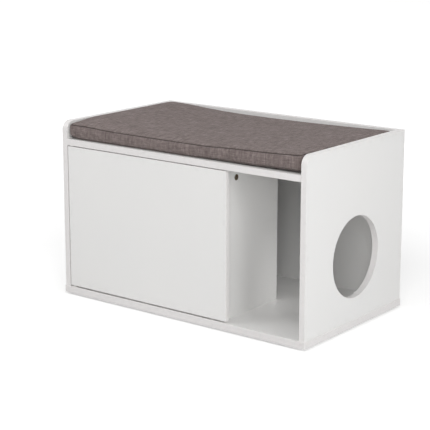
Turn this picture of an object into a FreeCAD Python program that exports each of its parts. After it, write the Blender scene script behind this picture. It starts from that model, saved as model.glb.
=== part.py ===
"""Cat litter box cabinet: a white board cabinet with a seat cushion on top.

Frame: +X towards the cat's entrance, +Y towards the back, +Z up, origin on the floor
under the middle of the cabinet. All sizes are in millimetres.

The base board lies under everything and stands a little proud all round. Two side
panels, a back panel, a seat board and a short divider stand on it, held by cam fittings,
dowels and screws. The inset door turns on two pivot pins at its left end, a magnetic
catch holds it, and a loose box cushion lies on the seat board between the side panels.
"""
import FreeCAD, Part
import math
import os
import Sketcher

V = FreeCAD.Vector
doc = FreeCAD.newDocument("litter_box_cabinet")

# ---------------------------------------------------------------- driving dimensions

SIZES = [
    # overall
    ("width", 750, "base board, left to right"),
    ("depth", 430, "base board, front to back"),
    ("height", 455, "floor to the top of the side panels"),
    # boards
    ("base_board", 18, "thickness of the base board"),
    ("board", 16, "thickness of the sides, back, seat and divider"),
    ("door_board", 12, "thickness of the door"),
    ("flare", 1.5, "base board proud of the side panels"),
    ("banding", 1.5, "thickness of the edge bands"),
    ("arris", 0.8, "chamfer on the edge bands' long edges"),
    ("corner_round", 23, "front top corner of the side panels"),
    ("seat_drop", 45, "seat board's top below the top of the sides"),
    # cat's entrance in the right side panel
    ("entrance", 200, "diameter of the round entrance"),
    ("entrance_rise", 156, "centre of the entrance above the base board"),
    # door and divider
    ("litter_bay", 472.5, "clear width left of the divider"),
    ("divider_depth", 220, "divider, front to back"),
    ("door_overlap", 17.5, "door past the divider's right face, the finger edge"),
    ("side_gap", 2.5, "left gap beside the door"),
    ("bottom_gap", 3.5, "gap under the door"),
    ("top_gap", 2, "gap over the door"),
    ("buffer_gap", 1.5, "door's back to the divider's front edge"),
    # door pivots
    ("pivot_inset", 10, "pivot axis from the door's left edge"),
    ("pivot_pin", 5, "diameter of the pivot pins"),
    ("pin_stem", 18, "depth of a pin in the door"),
    ("pin_journal", 8, "length of a pin in its bush"),
    ("pin_collar", 10, "diameter of the lower pin's collar"),
    ("bush_barrel", 8, "diameter of a bush in its board"),
    ("bush_flange", 11, "diameter of a bush's flange"),
    ("lower_flange", 1.5, "thickness of the lower bush's flange"),
    ("upper_flange", 1.2, "thickness of the upper bush's flange"),
    ("running", 0.06, "radial clearance of a pin in its bush"),
    ("thrust_play", 0.2, "lower collar above its bush"),
    # cam fittings
    ("cam", 15, "bore of a cam disc"),
    ("cam_height", 12.3, "height of a cam disc"),
    ("cam_setback", 29, "cam's centre from the end of its board"),
    ("cam_core", 3.6, "diameter of the core inside a cam's slot"),
    ("cam_chamber", 9.3, "diameter of a cam's slot where it holds the bolt's head"),
    ("cam_throw", 0.9, "offset of the cam's slot from its centre"),
    ("recess_arm", 3, "reach of a cam disc's cross recess"),
    ("recess_blade", 1.4, "width of the cross recess's arms"),
    ("recess_depth", 2, "depth of the cross recess"),
    ("bolt_shaft", 5, "diameter of a cam bolt's shaft"),
    ("bolt_head", 6.5, "diameter of a cam bolt's head"),
    ("bolt_grip", 10, "depth of a cam bolt in the board that it holds to"),
    ("seat_cam", 64, "seat board's cams behind its front edge"),
    ("divider_cam", 50, "divider's cam behind its front edge"),
    # dowels
    ("dowel", 8, "diameter of a dowel"),
    ("dowel_length", 30, "length of a dowel"),
    ("dowel_face_depth", 10, "part of a dowel that enters a board's face"),
    ("seat_dowel", 344, "seat board's dowels behind its front edge"),
    ("back_dowel", 290, "back panel's dowels above the base board"),
    # screws through the base board
    ("screw", 6.4, "diameter of a base screw's shaft"),
    ("screw_head", 10, "diameter of a base screw's head"),
    ("screw_length", 50, "length of a base screw"),
    ("screw_socket", 4, "hexagon socket across flats"),
    ("socket_depth", 2.8, "depth of the hexagon socket"),
    ("screw_end", 60, "side panels' screws from their ends"),
    # floor glides
    ("glide", 24, "side of a square floor glide"),
    ("glide_height", 5, "height of a floor glide"),
    ("glide_inset", 40, "glides from the base board's edges"),
    # magnetic catch
    ("catch_length", 46, "catch housing over its ears, left to right"),
    ("catch_block", 24, "catch housing's block between the ears"),
    ("catch_ear", 3, "thickness of an ear"),
    ("catch_depth", 15, "catch housing, front to back"),
    ("catch_height", 13, "catch housing below the seat board"),
    ("catch_wall", 1.5, "wall behind the magnet"),
    ("catch_from_divider", 14, "catch housing left of the divider"),
    ("catch_screw_pitch", 35, "distance between the catch's screws"),
    ("small_screw", 3, "diameter of the catch's screws"),
    ("small_screw_head", 6, "diameter of their heads"),
    ("small_screw_length", 12, "their length under the head"),
    ("magnet_length", 18, "magnet and pole plates, left to right"),
    ("magnet_height", 5, "thickness of the magnet"),
    ("pole_plate", 1.2, "thickness of a pole plate"),
    ("pole_proud", 1.2, "pole plates in front of the housing"),
    ("strike_length", 32, "strike plate, left to right"),
    ("strike_height", 8, "strike plate's height"),
    ("strike_plate", 1, "thickness of the strike plate"),
    ("strike_grip", 7, "length of the strike plate's screw"),
    ("catch_gap", 0.3, "pole plates behind the strike plate"),
    ("buffer", 8, "diameter of a door buffer"),
    ("buffer_end", 60, "door buffers from the divider's ends"),
    # cushion
    ("cushion_side_gap", 0.5, "cushion to the side panels"),
    ("cushion_front", 2.5, "cushion behind the front edges"),
    ("cushion_middle", 33, "cushion's seam height in the middle"),
    ("cushion_left", 38, "cushion's seam height at its left end"),
    ("cushion_right", 40.5, "cushion's seam height at its right end"),
    ("cushion_crown", 7, "rise of the top between the seams"),
    ("cushion_crown_end", 4, "rise of the top at the ends"),
    ("cushion_bulge", 1.8, "bulge of the front and back between seams"),
    ("cushion_shoulder", 11, "stretch over which the ends are drawn in"),
    ("cushion_tuck", 6, "how far the ends are drawn in"),
    # clearances of seated pieces
    ("fit", 0.1, "radial clearance of a piece in its bore"),
    ("bore_end", 0.5, "depth left under a piece in a blind bore"),
    ("seat_gap", 0.3, "soft piece above what carries it"),
]

sheet = doc.addObject("Spreadsheet::Sheet", "sizes")
for row, (alias, size, meaning) in enumerate(SIZES, start=1):
    sheet.set(f"A{row}", alias)
    sheet.set(f"B{row}", str(size))
    sheet.set(f"C{row}", meaning)
    sheet.setAlias(f"B{row}", alias)
doc.recompute()


def size(formula):
    """The present value, in mm, of a formula of the sheet's sizes."""
    found = sheet.evalExpression(formula)
    return float(getattr(found, "Value", found))


# Formulas that several pieces share, in the cabinet's frame.
SIDE_DEPTH = "(sizes.depth - 2 * sizes.flare)"
FRONT = "(-sizes.depth / 2 + sizes.flare)"
BASE_TOP = "(sizes.glide_height + sizes.base_board)"
SIDE_HEIGHT = "(sizes.height - sizes.glide_height - sizes.base_board)"
LEFT_FACE = "(-sizes.width / 2 + sizes.flare + sizes.board)"
RIGHT_FACE = "(sizes.width / 2 - sizes.flare - sizes.board)"
CLEAR_WIDTH = "(sizes.width - 2 * sizes.flare - 2 * sizes.board)"
SEAT_DEPTH = f"({SIDE_DEPTH} - sizes.board)"
SEAT_UNDER = "(sizes.height - sizes.seat_drop - sizes.board)"
BAY_HEIGHT = f"({SEAT_UNDER} - {BASE_TOP})"
DIVIDER_X = f"({LEFT_FACE} + sizes.litter_bay)"
DIVIDER_Y = f"({FRONT} + sizes.door_board + sizes.buffer_gap)"
DIVIDER_BACK = f"({DIVIDER_Y} + sizes.divider_depth)"
DOOR_X = f"({LEFT_FACE} + sizes.side_gap)"
DOOR_Z = f"({BASE_TOP} + sizes.bottom_gap)"
DOOR_WIDTH = "(sizes.litter_bay + sizes.board + sizes.door_overlap - sizes.side_gap)"
DOOR_HEIGHT = f"({BAY_HEIGHT} - sizes.bottom_gap - sizes.top_gap)"
PIVOT_X = f"({DOOR_X} + sizes.pivot_inset)"
PIVOT_Y = f"({FRONT} + sizes.door_board / 2)"
BACK_Y = f"({FRONT} + {SEAT_DEPTH})"
DOWEL_EDGE_DEPTH = "(sizes.dowel_length - sizes.dowel_face_depth)"

# ---------------------------------------------------------------- drawing helpers


def new_body(label, place=("0", "0", "0")):
    """A body at a place given by three formulas."""
    body = doc.addObject("PartDesign::Body", label)
    body.Label = label
    for axis, formula in zip("xyz", place):
        body.setExpression(f"Placement.Base.{axis}", formula)
    return body


def new_sketch(body, plane, offset="0"):
    """A sketch on one of the body's own planes: XY, YZ (u = Y, v = Z) or XZ (u = X, v = Z)."""
    sketch = body.newObject("Sketcher::SketchObject", f"{body.Name}_sketch")
    base = next(f for f in body.Origin.OriginFeatures if f.Role == f"{plane}_Plane")
    sketch.AttachmentSupport = [(base, "")]
    sketch.MapMode = "FlatFace"
    sketch.setExpression("AttachmentOffset.Base.z", offset)
    return sketch


def pin_point(sketch, geometry, end, u, v):
    """Holds one point of a sketch at the formulas (u, v), from the sketch's origin."""
    for kind, axis, formula in (("DistanceX", -2, u), ("DistanceY", -1, v)):
        if formula == "0":
            sketch.addConstraint(Sketcher.Constraint("PointOnObject", geometry, end, axis))
        else:
            value = size(formula)
            index = sketch.addConstraint(Sketcher.Constraint(kind, -1, 1, geometry, end, value))
            sketch.setExpression(f"Constraints[{index}]", formula)


def draw_outline(sketch, corners):
    """A closed outline through corners (u, v) or, rounded, (u, v, radius).

    A rounded corner joins one level and one upright line.
    """
    points = [V(size(c[0]), size(c[1]), 0) for c in corners]
    count = len(corners)
    stops = []
    for i, corner in enumerate(corners):
        if len(corner) == 2:
            stops.append([(corner[0], corner[1])])
            continue
        u, v, radius = corner
        before = points[i - 1] - points[i]
        after = points[(i + 1) % count] - points[i]
        pair = []
        for way in (before, after):
            way.normalize()
            pair.append((f"{u} + {round(way.x)} * ({radius})", f"{v} + {round(way.y)} * ({radius})"))
        stops.append(pair)
    lines = []
    for i in range(count):
        start = stops[i][-1]
        end = stops[(i + 1) % count][0]
        a = V(size(start[0]), size(start[1]), 0)
        b = V(size(end[0]), size(end[1]), 0)
        line = sketch.addGeometry(Part.LineSegment(a, b), False)
        pin_point(sketch, line, 1, *start)
        lines.append(line)
    for i in range(count):
        before, after = lines[i - 1], lines[i]
        if len(corners[i]) == 2:
            sketch.addConstraint(Sketcher.Constraint("Coincident", before, 2, after, 1))
            continue
        pin_point(sketch, before, 2, *stops[i][0])
        radius = corners[i][2]
        p = sketch.Geometry[before].EndPoint
        q = sketch.Geometry[after].StartPoint
        centre = p + q - points[i]
        turns_left = (points[i] - p).cross(q - points[i]).z > 0
        first, last = (p, q) if turns_left else (q, p)
        angles = [math.atan2(e.y - centre.y, e.x - centre.x) for e in (first, last)]
        circle = Part.Circle(centre, V(0, 0, 1), size(radius))
        arc = sketch.addGeometry(Part.ArcOfCircle(circle, *angles), False)
        start_end, finish_end = (1, 2) if turns_left else (2, 1)
        sketch.addConstraint(Sketcher.Constraint("Coincident", before, 2, arc, start_end))
        sketch.addConstraint(Sketcher.Constraint("Coincident", after, 1, arc, finish_end))
        index = sketch.addConstraint(Sketcher.Constraint("Radius", arc, size(radius)))
        sketch.setExpression(f"Constraints[{index}]", radius)


def draw_box(sketch, u0, v0, u1, v1):
    """A rectangle between two corners given by formulas."""
    draw_outline(sketch, [(u0, v0), (u1, v0), (u1, v1), (u0, v1)])


def draw_circles(sketch, centres, diameter):
    """Equal circles at the given centres."""
    for u, v in centres:
        centre = V(size(u), size(v), 0)
        circle = sketch.addGeometry(Part.Circle(centre, V(0, 0, 1), size(diameter) / 2), False)
        pin_point(sketch, circle, 3, u, v)
        index = sketch.addConstraint(Sketcher.Constraint("Diameter", circle, size(diameter)))
        sketch.setExpression(f"Constraints[{index}]", diameter)


def extrude(kind, body, sketch, length, forward=True):
    """A pad or pocket of a sketch, along the sketch plane's normal or against it."""
    feature = body.newObject(f"PartDesign::{kind}", f"{body.Name}_{kind.lower()}")
    feature.Profile = sketch
    feature.setExpression("Length", length)
    feature.Reversed = forward == (kind == "Pocket")
    sketch.Visibility = False
    doc.recompute()
    return feature


def pad(body, sketch, length, forward=True):
    return extrude("Pad", body, sketch, length, forward)


def pocket(body, sketch, length, forward=True):
    """A pocket, checked to have removed material."""
    before = body.Shape.Volume
    feature = extrude("Pocket", body, sketch, length, forward)
    if not body.Shape.Volume < before - 1e-6:
        raise ValueError(f"{feature.Name} removes nothing")
    return feature


def drill(body, plane, offset, forward, centres, diameter, depth):
    """Equal blind bores from a plane of the body, along its normal or against it."""
    sketch = new_sketch(body, plane, offset)
    draw_circles(sketch, centres, diameter)
    return pocket(body, sketch, depth, forward)


def revolve(body, sketch):
    """A full turn of a sketch drawn beside its upright axis."""
    feature = body.newObject("PartDesign::Revolution", f"{body.Name}_turned")
    feature.Profile = sketch
    feature.ReferenceAxis = (sketch, ["V_Axis"])
    feature.Angle = 360
    doc.recompute()
    return feature


def turned(label, profile, place=("0", "0", "0")):
    """A turned piece: a profile of (radius, height) corners round the body's Z axis."""
    body = new_body(label, place)
    sketch = new_sketch(body, "XZ")
    draw_outline(sketch, profile)
    revolve(body, sketch)
    return body


def ease_edges(body, chosen):
    """Chamfers every edge of the body that the test picks."""
    tip = body.Tip
    names = [f"Edge{i}" for i, edge in enumerate(tip.Shape.Edges, start=1) if chosen(edge)]
    chamfer = body.newObject("PartDesign::Chamfer", f"{body.Name}_arris")
    chamfer.Base = (tip, names)
    chamfer.setExpression("Size", "sizes.arris")
    doc.recompute()
    return chamfer


def spans(edge, axis):
    """The lowest and highest coordinate of an edge along an axis."""
    box = edge.BoundBox
    return {"x": (box.XMin, box.XMax), "y": (box.YMin, box.YMax), "z": (box.ZMin, box.ZMax)}[axis]


def lies_at(edge, axis, level):
    """Whether the whole edge lies at one level of an axis."""
    low, high = spans(edge, axis)
    return abs(low - level) < 1e-4 and abs(high - level) < 1e-4


def group(label, master, places):
    """Copies of a hidden master piece, each a separate solid, as one sub-part.

    A place is three formulas and a turn: (x, y, z, rotation).
    """
    links = []
    for x, y, z, turn in places:
        link = doc.addObject("App::Link", f"{label}_copy")
        link.setLink(master)
        link.Placement = FreeCAD.Placement(V(), turn)
        for axis, formula in zip("xyz", (x, y, z)):
            link.setExpression(f"Placement.Base.{axis}", formula)
        links.append(link)
    compound = doc.addObject("Part::Compound", label)
    compound.Label = label
    compound.Links = links
    doc.recompute()
    return compound


def turn_to(direction):
    """The rotation that takes +Z to a direction."""
    return FreeCAD.Rotation(V(0, 0, 1), V(*direction))


# ---------------------------------------------------------------- where the fittings sit

# Positions along a row are measured from the side panels' front edge, from the base
# board's top, or from the left side panel's inner face.
SIDE_SCREWS_Y = ["sizes.screw_end", f"{SIDE_DEPTH} - sizes.screw_end"]
SEAT_MID = "(sizes.board / 2)"
SEAT_LEVEL = f"({SEAT_UNDER} + {SEAT_MID})"
BACK_MID = f"({BACK_Y} + sizes.board / 2)"
DIVIDER_MID = "(sizes.litter_bay + sizes.board / 2)"
DIVIDER_MIDDLE_Y = "(sizes.divider_depth / 2)"

DOWEL_BORE = "sizes.dowel + 2 * sizes.fit"
DOWEL_FACE_BORE = "sizes.dowel_face_depth + sizes.bore_end"
DOWEL_EDGE_BORE = f"{DOWEL_EDGE_DEPTH} + sizes.bore_end"
SCREW_BORE = "sizes.screw + 2 * sizes.fit"
SCREW_EDGE_BORE = "sizes.screw_length - sizes.base_board + sizes.bore_end"
BOLT_BORE = "sizes.bolt_shaft + 2 * sizes.fit"
BOLT_DEPTH = "sizes.bolt_grip + sizes.bore_end"
HEAD_BORE = "sizes.bolt_head + 2 * sizes.fit"
CAM_DEPTH = "sizes.cam_height + 2 * sizes.fit"
PIVOT_BORE = "sizes.bush_barrel + 2 * sizes.fit"
PIVOT_DEPTH = "sizes.pin_journal + 2 * sizes.bore_end"
SMALL_BORE = "sizes.small_screw + 2 * sizes.fit"
SMALL_DEPTH = "sizes.small_screw_length - sizes.catch_ear + sizes.bore_end"

# ---------------------------------------------------------------- base board


def make_base_board():
    """The board under everything, inside its edge band, with the screws' countersinks."""
    body = new_body("base_board", ("-sizes.width / 2", "-sizes.depth / 2", "sizes.glide_height"))
    sketch = new_sketch(body, "XY")
    draw_box(sketch, "sizes.banding", "sizes.banding",
             "sizes.width - sizes.banding", "sizes.depth - sizes.banding")
    pad(body, sketch, "sizes.base_board")
    # from the underside: through bores and countersinks of the base screws
    screws = [(f"{x} + sizes.width / 2", f"{y} + sizes.depth / 2") for x, y in base_screw_places()]
    drill(body, "XY", "0", True, screws, SCREW_BORE, "sizes.base_board")
    for x, y in screws:
        cone = body.newObject("PartDesign::SubtractiveCone", "base_board_countersink")
        cone.AttachmentSupport = [(body.Origin.OriginFeatures[3], "")]
        cone.MapMode = "FlatFace"
        cone.setExpression("AttachmentOffset.Base.x", x)
        cone.setExpression("AttachmentOffset.Base.y", y)
        cone.setExpression("Radius1", "sizes.screw_head / 2 + sizes.fit")
        cone.setExpression("Radius2", "sizes.screw / 2 + sizes.fit")
        cone.setExpression("Height", "(sizes.screw_head - sizes.screw) / 2")
    doc.recompute()
    # from the top: the lower pivot bush
    pivot = [(f"{PIVOT_X} + sizes.width / 2", f"{PIVOT_Y} + sizes.depth / 2")]
    drill(body, "XY", "sizes.base_board", False, pivot, PIVOT_BORE, PIVOT_DEPTH)
    return body


def base_screw_places():
    """Centres of the screws through the base board, in the cabinet's plan."""
    places = []
    for x in (f"{LEFT_FACE} - sizes.board / 2", f"{RIGHT_FACE} + sizes.board / 2"):
        places += [(x, f"{FRONT} + {y}") for y in SIDE_SCREWS_Y]
    places.append((f"{LEFT_FACE} + {CLEAR_WIDTH} / 2", BACK_MID))
    places.append((f"{LEFT_FACE} + {DIVIDER_MID}", f"{DIVIDER_Y} + {DIVIDER_MIDDLE_Y}"))
    return places


def glide_places():
    """Centres of the floor glides, one near each corner."""
    x = "(sizes.width / 2 - sizes.glide_inset)"
    y = "(sizes.depth / 2 - sizes.glide_inset)"
    return [(u, v) for u in (f"-{x}", x) for v in (f"-{y}", y)]


def make_base_edge_band():
    """The band round all four edges of the base board."""
    body = new_body("base_edge_band", ("-sizes.width / 2", "-sizes.depth / 2", "sizes.glide_height"))
    sketch = new_sketch(body, "XY")
    draw_box(sketch, "0", "0", "sizes.width", "sizes.depth")
    draw_box(sketch, "sizes.banding", "sizes.banding",
             "sizes.width - sizes.banding", "sizes.depth - sizes.banding")
    pad(body, sketch, "sizes.base_board")
    width, depth = size("sizes.width"), size("sizes.depth")

    def outer(edge):
        rim = [("x", 0), ("x", width), ("y", 0), ("y", depth)]
        return any(lies_at(edge, axis, level) for axis, level in rim)

    ease_edges(body, outer)
    return body


# ---------------------------------------------------------------- side panels

CORE_CORNER = "sizes.corner_round - sizes.banding"


def make_side_panel(label, x, inner_level, inward):
    """A side panel's board: banded edges, rounded corner and the fittings' bores.

    inner_level is the panel's inner face in its own frame and inward the way of the
    bores from that face: False drills towards -X, True towards +X.
    """
    body = new_body(label, (x, FRONT, BASE_TOP))
    sketch = new_sketch(body, "YZ")
    draw_outline(sketch, [
        ("sizes.banding", "0"),
        (SIDE_DEPTH, "0"),
        (SIDE_DEPTH, f"{SIDE_HEIGHT} - sizes.banding"),
        ("sizes.banding", f"{SIDE_HEIGHT} - sizes.banding", CORE_CORNER),
    ])
    pad(body, sketch, "sizes.board")
    # inner face: the seat board's cam bolt and dowel, and the back panel's dowel
    seat_z = f"{SEAT_LEVEL} - {BASE_TOP}"
    dowels = [("sizes.seat_dowel", seat_z), (f"{BACK_MID} - {FRONT}", "sizes.back_dowel")]
    drill(body, "YZ", inner_level, inward, [("sizes.seat_cam", seat_z)], BOLT_BORE, BOLT_DEPTH)
    drill(body, "YZ", inner_level, inward, dowels, DOWEL_BORE, DOWEL_FACE_BORE)
    # lower edge: base screws
    screws = [("sizes.board / 2", y) for y in SIDE_SCREWS_Y]
    drill(body, "XY", "0", True, screws, SCREW_BORE, SCREW_EDGE_BORE)
    return body


def make_entrance(body):
    """The cat's round entrance, cut through the right side panel."""
    sketch = new_sketch(body, "YZ")
    draw_circles(sketch, [(f"{SIDE_DEPTH} / 2", "sizes.entrance_rise")],
                 "sizes.entrance + 2 * sizes.banding")
    pocket(body, sketch, "sizes.board")


def make_side_edge_band(label, x):
    """The band up a side panel's front edge, round its corner and along its top."""
    body = new_body(label, (x, FRONT, BASE_TOP))
    sketch = new_sketch(body, "YZ")
    draw_outline(sketch, [
        ("0", "0"),
        ("sizes.banding", "0"),
        ("sizes.banding", f"{SIDE_HEIGHT} - sizes.banding", CORE_CORNER),
        (SIDE_DEPTH, f"{SIDE_HEIGHT} - sizes.banding"),
        (SIDE_DEPTH, SIDE_HEIGHT),
        ("0", SIDE_HEIGHT, "sizes.corner_round"),
    ])
    pad(body, sketch, "sizes.board")
    height, bend = size(SIDE_HEIGHT), size("sizes.corner_round")

    def outer(edge):
        if spans(edge, "x")[1] - spans(edge, "x")[0] > 1e-4:
            return False
        on_front = lies_at(edge, "y", 0)
        on_top = lies_at(edge, "z", height)
        middle = edge.valueAt((edge.FirstParameter + edge.LastParameter) / 2)
        reach = math.hypot(middle.y - bend, middle.z - (height - bend))
        in_corner = edge.BoundBox.YLength > 1 and edge.BoundBox.ZLength > 1
        return on_front or on_top or (in_corner and abs(reach - bend) < 0.01)

    ease_edges(body, outer)
    return body


def make_right_side_edge_bands():
    """The right side panel's bands: the front and top strip, and the entrance's lining."""
    strip = make_side_edge_band("right_side_strip", RIGHT_FACE)
    ring = new_body("entrance_lining", (RIGHT_FACE, FRONT, BASE_TOP))
    sketch = new_sketch(ring, "YZ")
    centre = [(f"{SIDE_DEPTH} / 2", "sizes.entrance_rise")]
    draw_circles(sketch, centre, "sizes.entrance")
    draw_circles(sketch, centre, "sizes.entrance + 2 * sizes.banding")
    pad(ring, sketch, "sizes.board")
    compound = doc.addObject("Part::Compound", "right_side_edge_bands")
    compound.Label = "right_side_edge_bands"
    compound.Links = [strip, ring]
    return compound


# ---------------------------------------------------------------- back panel


def make_back_panel():
    """The back between the side panels, doweled to them and screwed to the base board."""
    body = new_body("back_panel", (LEFT_FACE, BACK_Y, BASE_TOP))
    sketch = new_sketch(body, "XZ")
    draw_box(sketch, "0", "0", CLEAR_WIDTH, f"{SIDE_HEIGHT} - sizes.banding")
    pad(body, sketch, "sizes.board", forward=False)
    for level, forward in (("0", True), (CLEAR_WIDTH, False)):
        drill(body, "YZ", level, forward, [("sizes.board / 2", "sizes.back_dowel")],
              DOWEL_BORE, DOWEL_EDGE_BORE)
    drill(body, "XY", "0", True, [(f"{CLEAR_WIDTH} / 2", "sizes.board / 2")],
          SCREW_BORE, SCREW_EDGE_BORE)
    return body


def make_back_edge_band():
    """The band on the back panel's top edge."""
    body = new_body("back_edge_band", (LEFT_FACE, BACK_Y, BASE_TOP))
    sketch = new_sketch(body, "YZ")
    draw_box(sketch, "0", f"{SIDE_HEIGHT} - sizes.banding", "sizes.board", SIDE_HEIGHT)
    pad(body, sketch, CLEAR_WIDTH)
    height = size(SIDE_HEIGHT)
    ease_edges(body, lambda edge: lies_at(edge, "z", height)
                and edge.BoundBox.XLength > 1)
    return body


# ---------------------------------------------------------------- seat board


def make_seat_board():
    """The board under the cushion, with its cams bored in from below."""
    body = new_body("seat_board", (LEFT_FACE, FRONT, SEAT_UNDER))
    sketch = new_sketch(body, "XY")
    draw_box(sketch, "0", "sizes.banding", CLEAR_WIDTH, SEAT_DEPTH)
    pad(body, sketch, "sizes.board")
    cams = [(x, "sizes.seat_cam")
            for x in ("sizes.cam_setback", f"{CLEAR_WIDTH} - sizes.cam_setback")]
    drill(body, "XY", "0", True, cams, "sizes.cam", CAM_DEPTH)
    for level, forward in (("0", True), (CLEAR_WIDTH, False)):
        drill(body, "YZ", level, forward, [("sizes.seat_cam", SEAT_MID)],
              HEAD_BORE, "sizes.cam_setback")
        drill(body, "YZ", level, forward, [("sizes.seat_dowel", SEAT_MID)],
              DOWEL_BORE, DOWEL_EDGE_BORE)
    # underside: the divider's bolt, the upper pivot bush and the catch's screws
    drill(body, "XY", "0", True, [(DIVIDER_MID, f"{DIVIDER_Y} - {FRONT} + sizes.divider_cam")],
          BOLT_BORE, BOLT_DEPTH)
    pivot = [(f"{PIVOT_X} - {LEFT_FACE}", f"{PIVOT_Y} - {FRONT}")]
    drill(body, "XY", "0", True, pivot, PIVOT_BORE, PIVOT_DEPTH)
    ears = [(f"{x} - {LEFT_FACE}", f"{CATCH_SCREW_Y} - {FRONT}") for x in catch_screws_x()]
    drill(body, "XY", "0", True, ears, SMALL_BORE, SMALL_DEPTH)
    return body


def make_seat_edge_band():
    """The band on the seat board's front edge."""
    body = new_body("seat_edge_band", (LEFT_FACE, FRONT, SEAT_UNDER))
    sketch = new_sketch(body, "YZ")
    draw_box(sketch, "0", "0", "sizes.banding", "sizes.board")
    pad(body, sketch, CLEAR_WIDTH)
    ease_edges(body, lambda edge: lies_at(edge, "y", 0)
                and edge.BoundBox.XLength > 1)
    return body


# ---------------------------------------------------------------- divider


def make_divider_panel():
    """The short wall between the litter bay and the entrance bay."""
    body = new_body("divider_panel", (DIVIDER_X, DIVIDER_Y, BASE_TOP))
    sketch = new_sketch(body, "YZ")
    draw_box(sketch, "sizes.banding", "0", "sizes.divider_depth - sizes.banding", BAY_HEIGHT)
    pad(body, sketch, "sizes.board")
    # right face: the one cam that shows
    drill(body, "YZ", "sizes.board", False,
          [("sizes.divider_cam", f"{BAY_HEIGHT} - sizes.cam_setback")], "sizes.cam", CAM_DEPTH)
    drill(body, "XY", BAY_HEIGHT, False, [("sizes.board / 2", "sizes.divider_cam")],
          HEAD_BORE, "sizes.cam_setback")
    drill(body, "XY", "0", True, [("sizes.board / 2", DIVIDER_MIDDLE_Y)],
          SCREW_BORE, SCREW_EDGE_BORE)
    return body


def make_divider_edge_bands():
    """The bands on the divider's front and rear edges."""
    strips = []
    for name, y, level in (("front", DIVIDER_Y, 0),
                           ("rear", f"{DIVIDER_BACK} - sizes.banding", size("sizes.banding"))):
        strip = new_body(f"divider_band_{name}", (DIVIDER_X, y, BASE_TOP))
        sketch = new_sketch(strip, "XY")
        draw_box(sketch, "0", "0", "sizes.board", "sizes.banding")
        pad(strip, sketch, BAY_HEIGHT)
        ease_edges(strip, lambda edge, level=level: lies_at(edge, "y", level)
                    and edge.BoundBox.ZLength > 1)
        strips.append(strip)
    compound = doc.addObject("Part::Compound", "divider_edge_bands")
    compound.Label = "divider_edge_bands"
    compound.Links = strips
    return compound


# ---------------------------------------------------------------- door


def make_door_panel():
    """The inset door's board, bored for its pivot pins and the strike plate's screw."""
    body = new_body("door_panel", (DOOR_X, FRONT, DOOR_Z))
    sketch = new_sketch(body, "XZ")
    draw_box(sketch, "sizes.banding", "sizes.banding",
             f"{DOOR_WIDTH} - sizes.banding", f"{DOOR_HEIGHT} - sizes.banding")
    pad(body, sketch, "sizes.door_board", forward=False)
    axis = [("sizes.pivot_inset", "sizes.door_board / 2")]
    bore = "sizes.pivot_pin + 2 * sizes.fit"
    depth = "sizes.pin_stem + sizes.bore_end - sizes.banding"
    drill(body, "XY", "sizes.banding", True, axis, bore, depth)
    drill(body, "XY", f"{DOOR_HEIGHT} - sizes.banding", False, axis, bore, depth)
    screw = [(f"{CATCH_X} - {DOOR_X}", f"{STRIKE_Z} - {DOOR_Z}")]
    drill(body, "XZ", "-sizes.door_board", True, screw, SMALL_BORE, STRIKE_SCREW_BORE)
    return body


def make_door_edge_band():
    """The band round all four edges of the door, bored where the pins pass."""
    body = new_body("door_edge_band", (DOOR_X, FRONT, DOOR_Z))
    sketch = new_sketch(body, "XZ")
    draw_box(sketch, "0", "0", DOOR_WIDTH, DOOR_HEIGHT)
    draw_box(sketch, "sizes.banding", "sizes.banding",
             f"{DOOR_WIDTH} - sizes.banding", f"{DOOR_HEIGHT} - sizes.banding")
    pad(body, sketch, "sizes.door_board", forward=False)
    width, height = size(DOOR_WIDTH), size(DOOR_HEIGHT)

    def outer(edge):
        rim = [("x", 0), ("x", width), ("z", 0), ("z", height)]
        return any(lies_at(edge, axis, level) for axis, level in rim)

    ease_edges(body, outer)
    axis = [("sizes.pivot_inset", "sizes.door_board / 2")]
    bore = "sizes.pivot_pin + 2 * sizes.fit"
    drill(body, "XY", "0", True, axis, bore, "sizes.banding")
    drill(body, "XY", f"{DOOR_HEIGHT} - sizes.banding", True, axis, bore, "sizes.banding")
    return body


# ---------------------------------------------------------------- door pivots


def make_pivots():
    """Steel pins fixed in the door's lower and upper edge, and flanged bushes for them.

    The door's weight rests on the lower pin's collar, over the lower bush's flange.
    """
    pin = "(sizes.pivot_pin / 2)"
    bore = f"({pin} + sizes.running)"
    barrel = "sizes.bush_barrel / 2"
    flange = "sizes.bush_flange / 2"
    floor = "(-sizes.pin_journal - sizes.bore_end)"
    lower_collar = "(sizes.lower_flange + sizes.thrust_play)"
    lower = (PIVOT_X, PIVOT_Y, BASE_TOP)
    upper = (PIVOT_X, PIVOT_Y, SEAT_UNDER)
    pieces = [
        turned("lower_pivot_bush", [
            (bore, floor), (barrel, floor), (barrel, "0"), (flange, "0"),
            (flange, "sizes.lower_flange"), (bore, "sizes.lower_flange"),
        ], lower),
        turned("lower_pivot_pin", [
            ("0", "-sizes.pin_journal + sizes.lower_flange"),
            (pin, "-sizes.pin_journal + sizes.lower_flange"),
            (pin, lower_collar), ("sizes.pin_collar / 2", lower_collar),
            ("sizes.pin_collar / 2", "sizes.bottom_gap"), (pin, "sizes.bottom_gap"),
            (pin, "sizes.bottom_gap + sizes.pin_stem"), ("0", "sizes.bottom_gap + sizes.pin_stem"),
        ], lower),
        turned("upper_pivot_bush", [
            (bore, "-sizes.upper_flange"), (flange, "-sizes.upper_flange"), (flange, "0"),
            (barrel, "0"), (barrel, "sizes.pin_journal + sizes.bore_end"),
            (bore, "sizes.pin_journal + sizes.bore_end"),
        ], upper),
        turned("upper_pivot_pin", [
            ("0", "-sizes.top_gap - sizes.pin_stem"), (pin, "-sizes.top_gap - sizes.pin_stem"),
            (pin, "sizes.pin_journal - sizes.upper_flange"),
            ("0", "sizes.pin_journal - sizes.upper_flange"),
        ], upper),
    ]
    return pieces


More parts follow.
